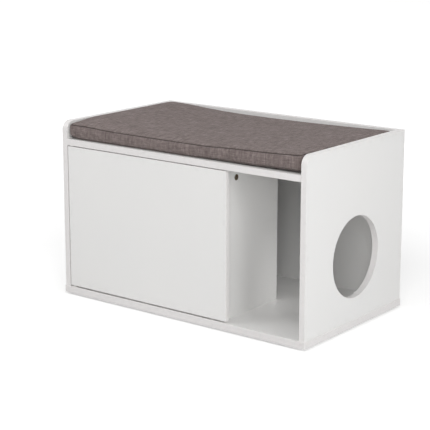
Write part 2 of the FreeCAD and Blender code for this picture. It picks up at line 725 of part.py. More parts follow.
# ---------------------------------------------------------------- cam fittings


def make_cam_disc():
    """One cam disc: its face at z = 0, the bolt's axis half a board below, opening to +X.

    An undercut slot runs round the disc, off its centre, so that a turn of the disc
    draws the bolt's head inwards. A cross recess in the face takes the screwdriver.
    """
    body = new_body("cam_disc")
    sketch = new_sketch(body, "XY")
    draw_circles(sketch, [("0", "0")], "sizes.cam - 2 * sizes.fit")
    pad(body, sketch, "sizes.cam_height", forward=False)
    # undercut slot: a narrow throat for the shaft, a wide chamber for the head
    throat = "(sizes.bolt_shaft / 2 + 2 * sizes.fit)"
    chamber = "(sizes.bolt_head / 2 + 2 * sizes.fit)"
    inner = "(sizes.cam_core / 2)"
    step = "(sizes.cam_chamber / 2)"
    outer = "(sizes.cam / 2 + 2 * sizes.cam_throw)"
    level = "-sizes.board / 2"
    profile = new_sketch(body, "XZ")
    draw_outline(profile, [
        (inner, f"{level} - {chamber}"), (step, f"{level} - {chamber}"),
        (step, f"{level} - {throat}"), (outer, f"{level} - {throat}"),
        (outer, f"{level} + {throat}"), (step, f"{level} + {throat}"),
        (step, f"{level} + {chamber}"), (inner, f"{level} + {chamber}"),
    ])
    profile.setExpression("AttachmentOffset.Base.x", "-sizes.cam_throw")
    slot = body.newObject("PartDesign::Groove", "cam_disc_slot")
    slot.Profile = profile
    slot.ReferenceAxis = (profile, ["V_Axis"])
    slot.Angle = 200
    slot.Midplane = True
    doc.recompute()
    # the head enters through a window at the slot's side, before the disc is turned
    window = new_sketch(body, "XZ")
    draw_box(window, f"-{chamber}", f"{level} - {chamber}", chamber, f"{level} + {chamber}")
    pocket(body, window, "sizes.cam")
    # cross recess
    arm, blade = "sizes.recess_arm", "(sizes.recess_blade / 2)"
    cross = new_sketch(body, "XY")
    draw_outline(cross, [
        (f"-{arm}", f"-{blade}"), (f"-{blade}", f"-{blade}"), (f"-{blade}", f"-{arm}"),
        (blade, f"-{arm}"), (blade, f"-{blade}"), (arm, f"-{blade}"),
        (arm, blade), (blade, blade), (blade, arm),
        (f"-{blade}", arm), (f"-{blade}", blade), (f"-{arm}", blade),
    ])
    pocket(body, cross, "sizes.recess_depth", forward=False)
    return body


def make_cam_bolt():
    """One cam bolt along +Z: its grip below z = 0, its shaft, and the head in the cam."""
    shaft, head = "(sizes.bolt_shaft / 2)", "(sizes.bolt_head / 2)"
    # the head lies between the slot's core and its outer wall
    head_back = "(sizes.cam_setback + sizes.cam_throw - sizes.cam_chamber / 2 + 2 * sizes.fit)"
    head_front = "(sizes.cam_setback + sizes.cam_throw - sizes.cam_core / 2 - 2 * sizes.fit)"
    return turned("cam_bolt", [
        ("0", "-sizes.bolt_grip"), (shaft, "-sizes.bolt_grip"), (shaft, head_back),
        (head, head_back), (head, head_front), ("0", head_front),
    ])


def cam_places():
    """Each cam fitting: its bolt's foot on a face, the bolt's way, and the cam's open side."""
    seat_y = f"{FRONT} + sizes.seat_cam"
    top = (f"{LEFT_FACE} + {DIVIDER_MID}", f"{DIVIDER_Y} + sizes.divider_cam", SEAT_UNDER)
    return [
        ((LEFT_FACE, seat_y, SEAT_LEVEL), (1, 0, 0), (0, 0, -1)),
        ((RIGHT_FACE, seat_y, SEAT_LEVEL), (-1, 0, 0), (0, 0, -1)),
        (top, (0, 0, -1), (1, 0, 0)),
    ]


def shifted(place, direction, distance):
    """A place of three formulas, moved along a direction by a formula."""
    return tuple(f"{p} + {d} * ({distance})" if d else p for p, d in zip(place, direction))


def make_cam_fittings():
    """The cam bolts, and the cam discs that draw their heads in."""
    bolt, disc = make_cam_bolt(), make_cam_disc()
    bolts, discs = [], []
    for foot, way, face in cam_places():
        bolts.append((*foot, turn_to(way)))
        centre = shifted(foot, way, "sizes.cam_setback")
        seat = shifted(centre, face, "sizes.board / 2")
        # the disc's Z is its face's outward normal and its X looks back along the bolt
        back = V(*way) * -1
        normal = V(*face)
        turn = FreeCAD.Rotation(back, normal.cross(back), normal, "XYZ")
        discs.append((*seat, turn))
    return [group("cam_bolts", bolt, bolts), group("cam_discs", disc, discs)]


def make_dowels():
    """The dowels of the seat board and the back panel, each set in a side panel's face."""
    low, high = "-sizes.dowel_face_depth", DOWEL_EDGE_DEPTH
    dowel = turned("dowel", [
        ("0", low), ("sizes.dowel / 2", low), ("sizes.dowel / 2", high), ("0", high),
    ])
    places = []
    for face, way in ((LEFT_FACE, 1), (RIGHT_FACE, -1)):
        turn = turn_to((way, 0, 0))
        places.append((face, f"{FRONT} + sizes.seat_dowel", SEAT_LEVEL, turn))
        places.append((face, BACK_MID, f"{BASE_TOP} + sizes.back_dowel", turn))
    return group("wooden_dowels", dowel, places)


# ---------------------------------------------------------------- screws and glides


def make_base_screws():
    """Countersunk screws with hexagon sockets, up through the base board."""
    shaft, head = "(sizes.screw / 2)", "(sizes.screw_head / 2)"
    screw = turned("base_screw", [
        ("0", "0"), (head, "0"), (shaft, f"{head} - {shaft}"),
        (shaft, "sizes.screw_length"), ("0", "sizes.screw_length"),
    ])
    socket = new_sketch(screw, "XY")
    # a hexagon with two level sides, from its corners' reach and half its side
    flat, reach = "(sizes.screw_socket / 2)", "(sizes.screw_socket / 2 / cos(30))"
    half = f"({reach} / 2)"
    draw_outline(socket, [
        (reach, "0"), (half, flat), (f"-{half}", flat),
        (f"-{reach}", "0"), (f"-{half}", f"-{flat}"), (half, f"-{flat}"),
    ])
    pocket(screw, socket, "sizes.socket_depth")
    up = turn_to((0, 0, 1))
    places = [(x, y, "sizes.glide_height", up) for x, y in base_screw_places()]
    return group("base_screws", screw, places)


def make_glides():
    """Square plastic glides stuck under the base board, eased where they meet the floor."""
    glide = new_body("glide")
    sketch = new_sketch(glide, "XY")
    draw_box(sketch, "-sizes.glide / 2", "-sizes.glide / 2", "sizes.glide / 2", "sizes.glide / 2")
    pad(glide, sketch, "sizes.glide_height")
    ease_edges(glide, lambda edge: lies_at(edge, "z", 0))
    up = turn_to((0, 0, 1))
    return group("floor_glides", glide, [(x, y, "0", up) for x, y in glide_places()])


# ---------------------------------------------------------------- magnetic catch

CATCH_X = f"({DIVIDER_X} - sizes.catch_from_divider - sizes.catch_length / 2)"
POLE_Y = f"({FRONT} + sizes.door_board + sizes.strike_plate + sizes.catch_gap)"
CATCH_Y = f"({POLE_Y} + sizes.pole_proud)"
CATCH_SCREW_Y = f"({CATCH_Y} + sizes.catch_depth / 2)"
STRIKE_Z = f"({SEAT_UNDER} - sizes.catch_height / 2)"
MAGNET_Z = f"({STRIKE_Z} - sizes.magnet_height / 2)"
STRIKE_SCREW_BORE = "(sizes.strike_grip - sizes.strike_plate + sizes.bore_end)"


def catch_screws_x():
    """The two ears' screws, left and right of the magnet."""
    return [f"{CATCH_X} - sizes.catch_screw_pitch / 2", f"{CATCH_X} + sizes.catch_screw_pitch / 2"]


def make_catch():
    """The magnetic catch under the seat board: housing, magnet, pole plates and screws."""
    half, block = "(sizes.catch_length / 2)", "(sizes.catch_block / 2)"
    housing = new_body("catch_housing", (CATCH_X, CATCH_Y, SEAT_UNDER))
    front = new_sketch(housing, "XZ")
    draw_outline(front, [
        (f"-{half}", "-sizes.catch_ear"), (f"-{block}", "-sizes.catch_ear"),
        (f"-{block}", "-sizes.catch_height"), (block, "-sizes.catch_height"),
        (block, "-sizes.catch_ear"), (half, "-sizes.catch_ear"), (half, "0"), (f"-{half}", "0"),
    ])
    pad(housing, front, "sizes.catch_depth", forward=False)
    # the pocket of the magnet and its pole plates, open at the front
    stack = "(sizes.magnet_height / 2 + sizes.pole_plate + sizes.fit)"
    centre = "(-sizes.catch_height / 2)"
    nest = new_sketch(housing, "XZ")
    width = "(sizes.magnet_length / 2 + sizes.fit)"
    draw_box(nest, f"-{width}", f"{centre} - {stack}", width, f"{centre} + {stack}")
    pocket(housing, nest, "sizes.catch_depth - sizes.catch_wall", forward=False)
    ears = [(f"{s} * sizes.catch_screw_pitch / 2", "sizes.catch_depth / 2") for s in (-1, 1)]
    drill(housing, "XY", "-sizes.catch_ear", True, ears, SMALL_BORE, "sizes.catch_ear")
    nest_depth = "(sizes.catch_depth - sizes.catch_wall - 2 * sizes.fit)"
    magnet = new_body("catch_magnet", (CATCH_X, CATCH_Y, MAGNET_Z))
    face = new_sketch(magnet, "XY")
    draw_box(face, "-sizes.magnet_length / 2", "0",
             "sizes.magnet_length / 2", nest_depth)
    pad(magnet, face, "sizes.magnet_height")
    plates = []
    for name, z in (("low", f"{MAGNET_Z} - sizes.pole_plate"),
                    ("high", f"{MAGNET_Z} + sizes.magnet_height")):
        plate = new_body(f"pole_plate_{name}", (CATCH_X, POLE_Y, z))
        shape = new_sketch(plate, "XY")
        draw_box(shape, "-sizes.magnet_length / 2", "0", "sizes.magnet_length / 2",
                 f"{nest_depth} + sizes.pole_proud")
        pad(plate, shape, "sizes.pole_plate")
        plates.append(plate)
    poles = doc.addObject("Part::Compound", "catch_pole_plates")
    poles.Label = "catch_pole_plates"
    poles.Links = plates
    shaft, head = "(sizes.small_screw / 2)", "(sizes.small_screw_head / 2)"
    screw = turned("catch_screw", [
        ("0", f"-{shaft}"), (head, f"-{shaft}"), (head, "0"), (shaft, "0"),
        (shaft, "sizes.small_screw_length"), ("0", "sizes.small_screw_length"),
    ])
    seat = f"{SEAT_UNDER} - sizes.catch_ear"
    up = turn_to((0, 0, 1))
    screws = group("catch_screws", screw, [(x, CATCH_SCREW_Y, seat, up) for x in catch_screws_x()])
    return [housing, magnet, poles, screws]


def make_strike():
    """The steel strike plate on the door's back and the screw that holds it."""
    back = f"({FRONT} + sizes.door_board)"
    plate = new_body("strike_plate", (CATCH_X, back, STRIKE_Z))
    face = new_sketch(plate, "XZ")
    long, tall = "(sizes.strike_length / 2)", "(sizes.strike_height / 2)"
    draw_box(face, f"-{long}", f"-{tall}", long, tall)
    pad(plate, face, "sizes.strike_plate", forward=False)
    drill(plate, "XZ", "0", False, [("0", "0")], SMALL_BORE, "sizes.strike_plate")
    cone = plate.newObject("PartDesign::SubtractiveCone", "strike_countersink")
    cone.AttachmentSupport = [(plate.Origin.OriginFeatures[4], "")]
    cone.MapMode = "FlatFace"
    cone.setExpression("AttachmentOffset.Base.z", "-sizes.strike_plate")
    cone.setExpression("Radius1", "sizes.small_screw / 2 + sizes.strike_plate + sizes.fit")
    cone.setExpression("Radius2", "sizes.small_screw / 2 + sizes.fit")
    cone.setExpression("Height", "sizes.strike_plate")
    shaft = "(sizes.small_screw / 2)"
    screw = turned("strike_screw", [
        ("0", "0"), (f"{shaft} + sizes.strike_plate", "0"), (shaft, "sizes.strike_plate"),
        (shaft, "sizes.strike_grip"), ("0", "sizes.strike_grip"),
    ], (CATCH_X, f"{back} + sizes.strike_plate", STRIKE_Z))
    screw.Placement = FreeCAD.Placement(screw.Placement.Base, turn_to((0, -1, 0)))
    for axis, formula in zip("xyz", (CATCH_X, f"{back} + sizes.strike_plate", STRIKE_Z)):
        screw.setExpression(f"Placement.Base.{axis}", formula)
    doc.recompute()
    return [plate, screw]


def make_door_buffers():
    """Two soft discs on the divider's front edge, where the door comes to rest."""
    tall = "(sizes.buffer_gap - sizes.seat_gap)"
    disc = turned("buffer_disc", [
        ("0", "0"), ("sizes.buffer / 2", "0"), ("sizes.buffer / 2", tall), ("0", tall),
    ])
    x = f"{DIVIDER_X} + sizes.board / 2"
    heights = (f"{BASE_TOP} + sizes.buffer_end", f"{SEAT_UNDER} - sizes.buffer_end")
    return group("door_buffers", disc, [(x, DIVIDER_Y, z, turn_to((0, -1, 0))) for z in heights])


# ---------------------------------------------------------------- cushion


def draw_cushion_section(sketch, front, rear, low, seam, crown, bulge):
    """One upright section of the cushion, front to back.

    Its underside is flat, its front and back bulge between the lower and upper seam, and
    its top is one arc from seam to seam. All values are formulas.
    """
    corners = [(front, low), (rear, low), (rear, seam), (front, seam)]
    under = sketch.addGeometry(Part.LineSegment(*[V(size(u), size(v), 0) for u, v in corners[:2]]))
    pin_point(sketch, under, 1, *corners[0])
    pin_point(sketch, under, 2, *corners[1])
    outward = [V(1, 0, 0), V(0, 1, 0), V(-1, 0, 0)]
    ends = [(under, 2)]
    for i, (rise, way) in enumerate(zip((bulge, crown, bulge), outward), start=1):
        a, b = (V(size(u), size(v), 0) for u, v in (corners[i], corners[(i + 1) % 4]))
        chord = f"({seam} - ({low}))" if i != 2 else f"({rear} - ({front}))"
        arc = sketch.addGeometry(Part.Arc(a, (a + b) * 0.5 + way * size(rise), b))
        curve = sketch.Geometry[arc]
        starts_at_a = curve.StartPoint.distanceToPoint(a) < 1e-6
        first, last = (1, 2) if starts_at_a else (2, 1)
        sketch.addConstraint(Sketcher.Constraint("Coincident", ends[-1][0], ends[-1][1], arc, first))
        if i == 3:
            sketch.addConstraint(Sketcher.Constraint("Coincident", arc, last, under, 1))
        else:
            pin_point(sketch, arc, last, *corners[i + 1])
        radius = f"(({chord}) * ({chord}) / 4 + ({rise}) * ({rise})) / (2 * ({rise}))"
        index = sketch.addConstraint(Sketcher.Constraint("Radius", arc, size(radius)))
        sketch.setExpression(f"Constraints[{index}]", radius)
        ends.append((arc, last))


# From the middle to the start of the shoulder: the share of that way, and the share of the
# rise from the middle's height to the end's.
CUSHION_RISE = [(0.35, 0.12), (0.68, 0.5), (1, 1)]
# Round the shoulder: the share of its stretch, and the share of the tuck.
CUSHION_ROUND = [(0.65, 0.22), (1, 1)]
# Shares of the tuck by which the underside lifts and the seam drops at the ends.
TUCK_BELOW, TUCK_ABOVE = 0.5, 0.9


def make_cushion():
    """The loose box cushion: crowned, lowest in its middle, drawn in at both ends."""
    place = ("0", FRONT, "sizes.height - sizes.seat_drop + sizes.seat_gap")
    body = new_body("seat_cushion", place)
    shoulder = f"({CLEAR_WIDTH} / 2 - sizes.cushion_side_gap - sizes.cushion_shoulder)"
    bulge = "sizes.cushion_bulge"
    front = f"(sizes.cushion_front + {bulge})"
    rear = f"({SEAT_DEPTH} - sizes.seat_gap - {bulge})"
    crown_loss = "(sizes.cushion_crown - sizes.cushion_crown_end)"
    stations = [("0", "sizes.cushion_middle", 0, 0)]
    for side, end in (("-1", "sizes.cushion_left"), ("1", "sizes.cushion_right")):
        half = [(f"{side} * {along} * {shoulder}",
                 f"sizes.cushion_middle + {up} * ({end} - sizes.cushion_middle)", up, 0)
                for along, up in CUSHION_RISE]
        half += [(f"{side} * ({shoulder} + {along} * sizes.cushion_shoulder)", end, 1, tuck)
                 for along, tuck in CUSHION_ROUND]
        stations = stations + half if side == "1" else half[::-1] + stations
    sketches = []
    for x, seam, up, tuck in stations:
        inset = f"{tuck} * sizes.cushion_tuck"
        sketch = new_sketch(body, "YZ", x)
        draw_cushion_section(
            sketch, f"{front} + {inset}", f"{rear} - {inset}",
            f"{TUCK_BELOW} * {inset}", f"{seam} - {TUCK_ABOVE} * {inset}",
            f"sizes.cushion_crown - {up} * {crown_loss}", bulge)
        sketches.append(sketch)
    loft = body.newObject("PartDesign::AdditiveLoft", "seat_cushion_loft")
    loft.Profile = sketches[0]
    loft.Sections = sketches[1:]
    loft.Ruled = True
    doc.recompute()
    return body


# ---------------------------------------------------------------- assembly and export

left_x = "(-sizes.width / 2 + sizes.flare)"
left_panel = make_side_panel("left_side_panel", left_x, "sizes.board", False)
right_panel = make_side_panel("right_side_panel", RIGHT_FACE, "0", True)
make_entrance(right_panel)

sub_parts = [
    make_base_board(),
    make_base_edge_band(),
    left_panel,
    make_side_edge_band("left_side_edge_band", left_x),
    right_panel,
    make_right_side_edge_bands(),
    make_back_panel(),
    make_back_edge_band(),
    make_seat_board(),
    make_seat_edge_band(),
    make_divider_panel(),
    make_divider_edge_bands(),
    make_door_panel(),
    make_door_edge_band(),
    *make_pivots(),
    *make_cam_fittings(),
    make_dowels(),
    make_base_screws(),
    make_glides(),
    *make_catch(),
    *make_strike(),
    make_door_buffers(),
    make_cushion(),
]
doc.recompute()

for item in doc.Objects:
    troubles = {"Invalid", "Error"} & set(item.State)
    if troubles:
        raise ValueError(f"{item.Name} is {', '.join(troubles)}")
for item in sub_parts:
    if item.Shape.isNull() or not item.Shape.isValid() or not item.Shape.Solids:
        raise ValueError(f"{item.Label} has no valid solid")

os.makedirs("parts", exist_ok=True)
for item in sub_parts:
    item.Shape.exportStep(f"parts/{item.Label}.step")
    print(f"{item.Label}: {len(item.Shape.Solids)} solids, {item.Shape.Volume:.0f} mm3")
print(f"{len(sub_parts)} sub-parts written")
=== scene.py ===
# %% [markdown]
# # A cat litter box cabinet with a seat cushion
# The cabinet is made of coated boards with plastic bands on their edges, a door that turns on
# two pins, and a loose cushion on top. The exact boards and fittings are already there as a
# fixed frame in metres. This script gives each of them its finish, makes the soft cushion,
# and sets up the floor, the light and the camera.

# %% Open the frame
import math
import bmesh
import bpy
import numpy as np
from mathutils import Matrix, Vector, noise


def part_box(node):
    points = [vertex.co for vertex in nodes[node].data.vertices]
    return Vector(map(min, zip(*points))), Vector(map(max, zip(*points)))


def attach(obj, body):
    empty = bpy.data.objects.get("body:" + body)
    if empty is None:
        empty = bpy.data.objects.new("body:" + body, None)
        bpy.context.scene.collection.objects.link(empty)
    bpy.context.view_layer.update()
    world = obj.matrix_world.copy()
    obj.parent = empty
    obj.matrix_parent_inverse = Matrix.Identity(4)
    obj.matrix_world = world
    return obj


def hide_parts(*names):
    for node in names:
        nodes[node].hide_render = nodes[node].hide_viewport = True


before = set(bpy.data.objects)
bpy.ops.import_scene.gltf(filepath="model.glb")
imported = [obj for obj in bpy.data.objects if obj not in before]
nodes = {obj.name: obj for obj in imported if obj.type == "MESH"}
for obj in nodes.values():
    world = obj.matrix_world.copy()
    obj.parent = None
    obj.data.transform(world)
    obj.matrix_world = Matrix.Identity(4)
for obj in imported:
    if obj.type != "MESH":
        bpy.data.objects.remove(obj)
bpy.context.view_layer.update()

# %% [markdown]
# ## Writing materials as sums
# A finish is a formula over the surface: where the board was cut, how far a thread is from
# its neighbour, how dark a seam is. Node trees are hard to read when they grow, so a small
# class wraps one output of the tree. Adding or multiplying two wrapped values adds the Math
# node that does it, and the formula stays readable.

# %% A wrapped value
class Value:
    """One output in a node tree. Python's operators on it add Math nodes."""

    def __init__(self, maker, socket):
        self.maker, self.socket = maker, socket

    def __add__(self, other):
        return self.maker.maths("ADD", self, other)

    __radd__ = __add__

    def __mul__(self, other):
        return self.maker.maths("MULTIPLY", self, other)

    __rmul__ = __mul__

    def __sub__(self, other):
        return self.maker.maths("SUBTRACT", self, other)

    def __rsub__(self, other):
        return self.maker.maths("SUBTRACT", other, self)

    def __truediv__(self, other):
        return self.maker.maths("DIVIDE", self, other)

    def __rtruediv__(self, other):
        return self.maker.maths("DIVIDE", other, self)

    def __abs__(self):
        return self.maker.maths("ABSOLUTE", self)


# %% [markdown]
# ## One class that makes nodes
# `NodeMaker` adds nodes to a material or to the world. Its `node` method adds any node: the
# type, then the settings, then what goes into the sockets. The other methods are the few
# nodes that are needed again and again, such as a smooth step or a mix of two colours. The
# last node, into which everything runs, is there from the start.

# %% Making nodes
class NodeMaker:
    """Adds nodes to the tree of a material or of the world."""

    def __init__(self, owner, last):
        owner.use_nodes = True
        self.tree = owner.node_tree
        self.last = self.tree.nodes[last]

    def node(self, kind, settings, sockets, out=0):
        """Adds a node: its settings first, then a value or a link for each socket."""
        made = self.tree.nodes.new(kind)
        for name, value in settings.items():
            if name == "stops":
                ramp = made.color_ramp.elements
                while len(ramp) < len(value):
                    ramp.new(1.0)
                for stop, (at, colour) in zip(ramp, value):
                    stop.position, stop.color = at, (*colour, 1)
            else:
                setattr(made, name, value)
        for name, value in sockets.items():
            if isinstance(value, Value):
                self.tree.links.new(value.socket, made.inputs[name])
            else:
                made.inputs[name].default_value = value
        return Value(self, made.outputs[out])

    def put(self, socket, value):
        """Links a value to a socket of the last node."""
        self.tree.links.new(value.socket, self.last.inputs[socket])

    def maths(self, operation, *values):
        return self.node("ShaderNodeMath", {"operation": operation}, dict(enumerate(values)))

    def parts(self, vector):
        """The three numbers of a vector."""
        split = self.node("ShaderNodeSeparateXYZ", {}, {0: vector})
        return [Value(self, out) for out in split.socket.node.outputs]

    def vector(self, x, y, z):
        return self.node("ShaderNodeCombineXYZ", {}, {0: x, 1: y, 2: z})

    def step(self, value, low, high):
        """0 below low, 1 above high, smooth between; high may be the smaller one."""
        return self.node("ShaderNodeMapRange", {"interpolation_type": "SMOOTHSTEP"},
                         {"Value": value, "From Min": low, "From Max": high})

    def mix(self, share, first, second):
        """A colour between two colours."""
        first, second = ((*c, 1) if isinstance(c, tuple) else c for c in (first, second))
        return self.node("ShaderNodeMix", {"data_type": "RGBA"},
                         {0: share, 6: first, 7: second}, out=2)

    def shows(self):
        """1 for what the camera, a reflection or clear glass shows, 0 for light on other things."""
        rays = self.node("ShaderNodeLightPath", {}, {}).socket.node.outputs
        camera, glossy, through = (Value(self, rays[f"Is {kind} Ray"])
                                   for kind in ("Camera", "Glossy", "Transmission"))
        return camera + glossy + through


# %% [markdown]
# ## One class for a material
# A `Finish` is a material being made. Its last node is the main shader. It knows where a
# point lies on its piece and which way the surface faces there, and adds noise and relief.

# %% A material being made
class Finish(NodeMaker):
    """A material being made, with its main shader as the last node."""

    def __init__(self, name, **fixed):
        self.material = bpy.data.materials.new(name)
        super().__init__(self.material, "Principled BSDF")
        for socket, value in fixed.items():
            self.last.inputs[socket.replace("_", " ")].default_value = value
        coordinates = self.node("ShaderNodeTexCoord", {}, {}).socket.node.outputs
        self.place = Value(self, coordinates["Object"])
        self.facing = Value(self, coordinates["Normal"])

    def noise(self, scale, detail=3.0, where=None, stretch=None, rough=0.5):
        """Noise from 0 to 1. stretch multiplies the place along x, y and z."""
        where = where or self.place
        if stretch:
            where = self.node("ShaderNodeMapping", {}, {"Vector": where, "Scale": stretch})
        return self.node("ShaderNodeTexNoise", {}, {
            "Vector": where, "Scale": scale, "Detail": detail, "Roughness": rough})

    def bump(self, height, depth):
        """Relief: height runs from 0 to 1 over depth metres. A second call adds to the first."""
        sockets = {"Height": height, "Distance": depth, "Strength": 1.0}
        links = self.last.inputs["Normal"].links
        if links:
            sockets["Normal"] = Value(self, links[0].from_socket)
        self.put("Normal", self.node("ShaderNodeBump", {}, sockets))


def give(finish, name):
    """Puts a finish on a frame node in place of its plain one."""
    slots = nodes[name].material_slots
    if not slots:
        nodes[name].data.materials.append(finish.material)
    for slot in slots:
        slot.material = finish.material


# %% [markdown]
# ## How near a point is to an edge
# Hands and mops touch a cabinet at its edges, so wear sits there. For a box-shaped piece the
# distance to the nearest edge needs no mesh work: it follows from the point's place and the
# piece's own corners, which the frame gives.

# %% Distance to a piece's edges
def near_edge(finish, name, axes, reach):
    """1 at the rim of a node's box, across the given axes, 0 from reach metres inwards."""
    low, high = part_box(name)
    spot = finish.parts(finish.place)
    near = None
    for axis in axes:
        middle, half = (low[axis] + high[axis]) / 2, (high[axis] - low[axis]) / 2
        inside = half - abs(spot[axis] - middle)
        near = inside if near is None else finish.maths("MINIMUM", near, inside)
    return finish.step(near, reach, 0.0)


# %% [markdown]
# ## White coated board
# The boards are pressed wood chips between two sheets of matt white melamine. The sheet has
# a very fine pearl grain, so its shine breaks up a little, and it is never one even white.
# Only the two broad faces are coated: wherever a board was sawn or bored, its chips show,
# unless a band covers them. The face's direction tells the two apart.

# %% The white of the cabinet
WHITE, WHITE_COOL = (0.860, 0.852, 0.836), (0.838, 0.835, 0.828)
WHITE_RUBBED = (0.70, 0.69, 0.67)
CHIP_DARK, CHIP_LIGHT, CHIP_DUST = (0.30, 0.19, 0.10), (0.56, 0.41, 0.25), (0.62, 0.50, 0.34)
CHIPS_PER_METRE = 420.0
RUB_REACH, PEARL_DEPTH, CHIP_DEPTH = 0.02, 0.00003, 0.0004


def coated_board(name, thin):
    """Board finish for one node. thin is the axis across the board: 0, 1 or 2."""
    f = Finish(f"white_board_{name}", Roughness=0.42, IOR=1.5)
    broad = [axis for axis in range(3) if axis != thin]
    sawn = f.step(abs(f.parts(f.facing)[thin]), 0.75, 0.45)
    cloud = f.noise(4.5, 2.0)
    rub = near_edge(f, name, broad, RUB_REACH) * f.step(f.noise(60, 4.0), 0.45, 0.75)
    coat = f.mix(cloud, WHITE, WHITE_COOL)
    coat = f.mix(rub * 0.25, coat, WHITE_RUBBED)
    cells = f.node("ShaderNodeTexVoronoi", {}, {"Vector": f.place, "Scale": CHIPS_PER_METRE}, out=1)
    shade = f.node("ShaderNodeSeparateColor", {}, {0: cells})
    chips = f.mix(shade, CHIP_DARK, CHIP_LIGHT)
    chips = f.mix(f.noise(1400, 2.0) * 0.5, chips, CHIP_DUST)
    f.put("Base Color", f.mix(sawn, coat, chips))
    f.put("Roughness", 0.36 + f.noise(35, 3.0) * 0.12 + rub * 0.1 + sawn * 0.35)
    f.bump(f.noise(1500, 2.0) * (1 - sawn), PEARL_DEPTH)
    f.bump(f.noise(500, 4.0) * sawn, CHIP_DEPTH)
    give(f, name)


boards = {"base_board": 2, "left_side_panel": 0, "right_side_panel": 0, "back_panel": 1,
          "seat_board": 2, "divider_panel": 0, "door_panel": 1}
for name, thin in boards.items():
    coated_board(name, thin)
print("boards:", len(boards))

# %% [markdown]
# ## Edge bands
# The bands are a harder plastic strip, glued on and trimmed flush. They are a shade darker,
# warmer and smoother than the coating, carry faint lines along their length from the trimming
# cutter, and their eased edges pick up small dull nicks first.

# %% Finish of the bands
BAND_LIGHT, BAND_DARK = (0.825, 0.803, 0.795), (0.795, 0.775, 0.768)
BAND_NICKED = (0.60, 0.59, 0.57)
NICK_REACH, TRIM_DEPTH = 0.0016, 0.00004


def edge_band(name, along):
    """Band finish for one node. along is the way that the trimming lines run."""
    f = Finish(f"white_edge_band_{name}", Roughness=0.34, IOR=1.5)
    lines = f.noise(900, 2.0, stretch=tuple(0.02 if axis == along else 1 for axis in range(3)))
    worn = near_edge(f, name, (0, 1, 2), NICK_REACH) * f.step(f.noise(90, 4.0), 0.52, 0.72)
    tone = f.mix(f.noise(12, 2.0), BAND_LIGHT, BAND_DARK)
    f.put("Base Color", f.mix(worn * 0.12, tone, BAND_NICKED))
    f.put("Roughness", 0.28 + lines * 0.12 + worn * 0.25)
    f.bump(lines, TRIM_DEPTH)
    give(f, name)


bands = {"base_edge_band": 0, "left_side_edge_band": 1, "right_side_edge_bands": 1,
         "back_edge_band": 0, "seat_edge_band": 0, "divider_edge_bands": 2,
         "door_edge_band": 0}
for name, along in bands.items():
    edge_band(name, along)
print("bands:", len(bands))

# %% [markdown]
# ## Metal fittings
# The cam discs are cast zinc with a brown stain that a screwdriver rubs off round the cross.
# The screws, bolts and pins are steel with a thin bright plating: the upright ones carry
# rings from turning, the strike plate's screw has fine lines along its shaft, and the bolts
# have an even grain. The plates are sheet steel with straight rolling lines.

# %% Finish of the metal fittings
BRIGHT, DULL = (0.66, 0.66, 0.65), (0.50, 0.50, 0.50)
ROUND_Z, ALONG_X, ALONG_Y, EVEN = (0.05, 0.05, 1), (0.04, 1, 1), (1, 0.05, 1), (1, 1, 1)
LINE_DEPTH = 0.00003


def steel(name, lines_run, rough):
    """Plated steel: it drifts from dull to bright, with fine lines that run a given way."""
    f = Finish(f"{name}_finish", Metallic=1.0, Roughness=rough)
    lines = f.noise(2600, 3.0, stretch=lines_run)
    polish = f.step(f.noise(130, 4.0), 0.3, 0.75)
    f.put("Base Color", f.mix(polish, DULL, BRIGHT))
    f.put("Roughness", rough - 0.08 + lines * 0.16 + polish * 0.08)
    f.bump(lines, LINE_DEPTH)
    give(f, name)


steels = {"base_screws": (ROUND_Z, 0.32), "catch_screws": (ROUND_Z, 0.32),
          "lower_pivot_pin": (ROUND_Z, 0.32), "upper_pivot_pin": (ROUND_Z, 0.32),
          "cam_bolts": (EVEN, 0.34), "strike_screw": (ALONG_Y, 0.32),
          "strike_plate": (ALONG_X, 0.30), "catch_pole_plates": (ALONG_X, 0.30)}
for name, (lines_run, rough) in steels.items():
    steel(name, lines_run, rough)
print("steel pieces:", len(steels))

# %% Finish of the stained cam discs
STAIN_LIGHT, STAIN_DARK = (0.24, 0.185, 0.13), (0.11, 0.08, 0.055)
STAIN_RUBBED = (0.42, 0.36, 0.29)
CAST_DEPTH = 0.00012
f = Finish("bronzed_zinc_cam_discs", Metallic=1.0, Roughness=0.45)
cast = f.noise(1100, 4.0)
bare = f.step(f.noise(420, 4.0), 0.56, 0.70)
stained = f.mix(f.noise(160, 3.0), STAIN_LIGHT, STAIN_DARK)
f.put("Base Color", f.mix(bare * 0.5, stained, STAIN_RUBBED))
f.put("Roughness", 0.50 - bare * 0.18 + cast * 0.10)
f.bump(cast, CAST_DEPTH)
give(f, "cam_discs")
print("cam discs:", f.material.name)

# %% [markdown]
# ## Small pieces of plastic, rubber, wood and ferrite
# The catch, bushes and glides are moulded, which leaves a slightly uneven, faintly cloudy
# surface. The glides stand on the floor and have grazed undersides. The buffers are clear
# grey rubber, the dowels are beech with pores along the grain, and the magnet is baked
# powder with a sandy face.

# %% Finish of the moulded, rubber and ferrite pieces
NYLON = ((0.78, 0.77, 0.74), (0.70, 0.69, 0.65))
GREY_PLASTIC = ((0.70, 0.70, 0.69), (0.60, 0.60, 0.59))
WHITE_PLASTIC = ((0.80, 0.80, 0.79), (0.74, 0.74, 0.73))
RUBBER = ((0.60, 0.60, 0.59), (0.50, 0.50, 0.49))
FERRITE = ((0.09, 0.09, 0.095), (0.05, 0.05, 0.05))
SCUFF_REACH = 0.0008


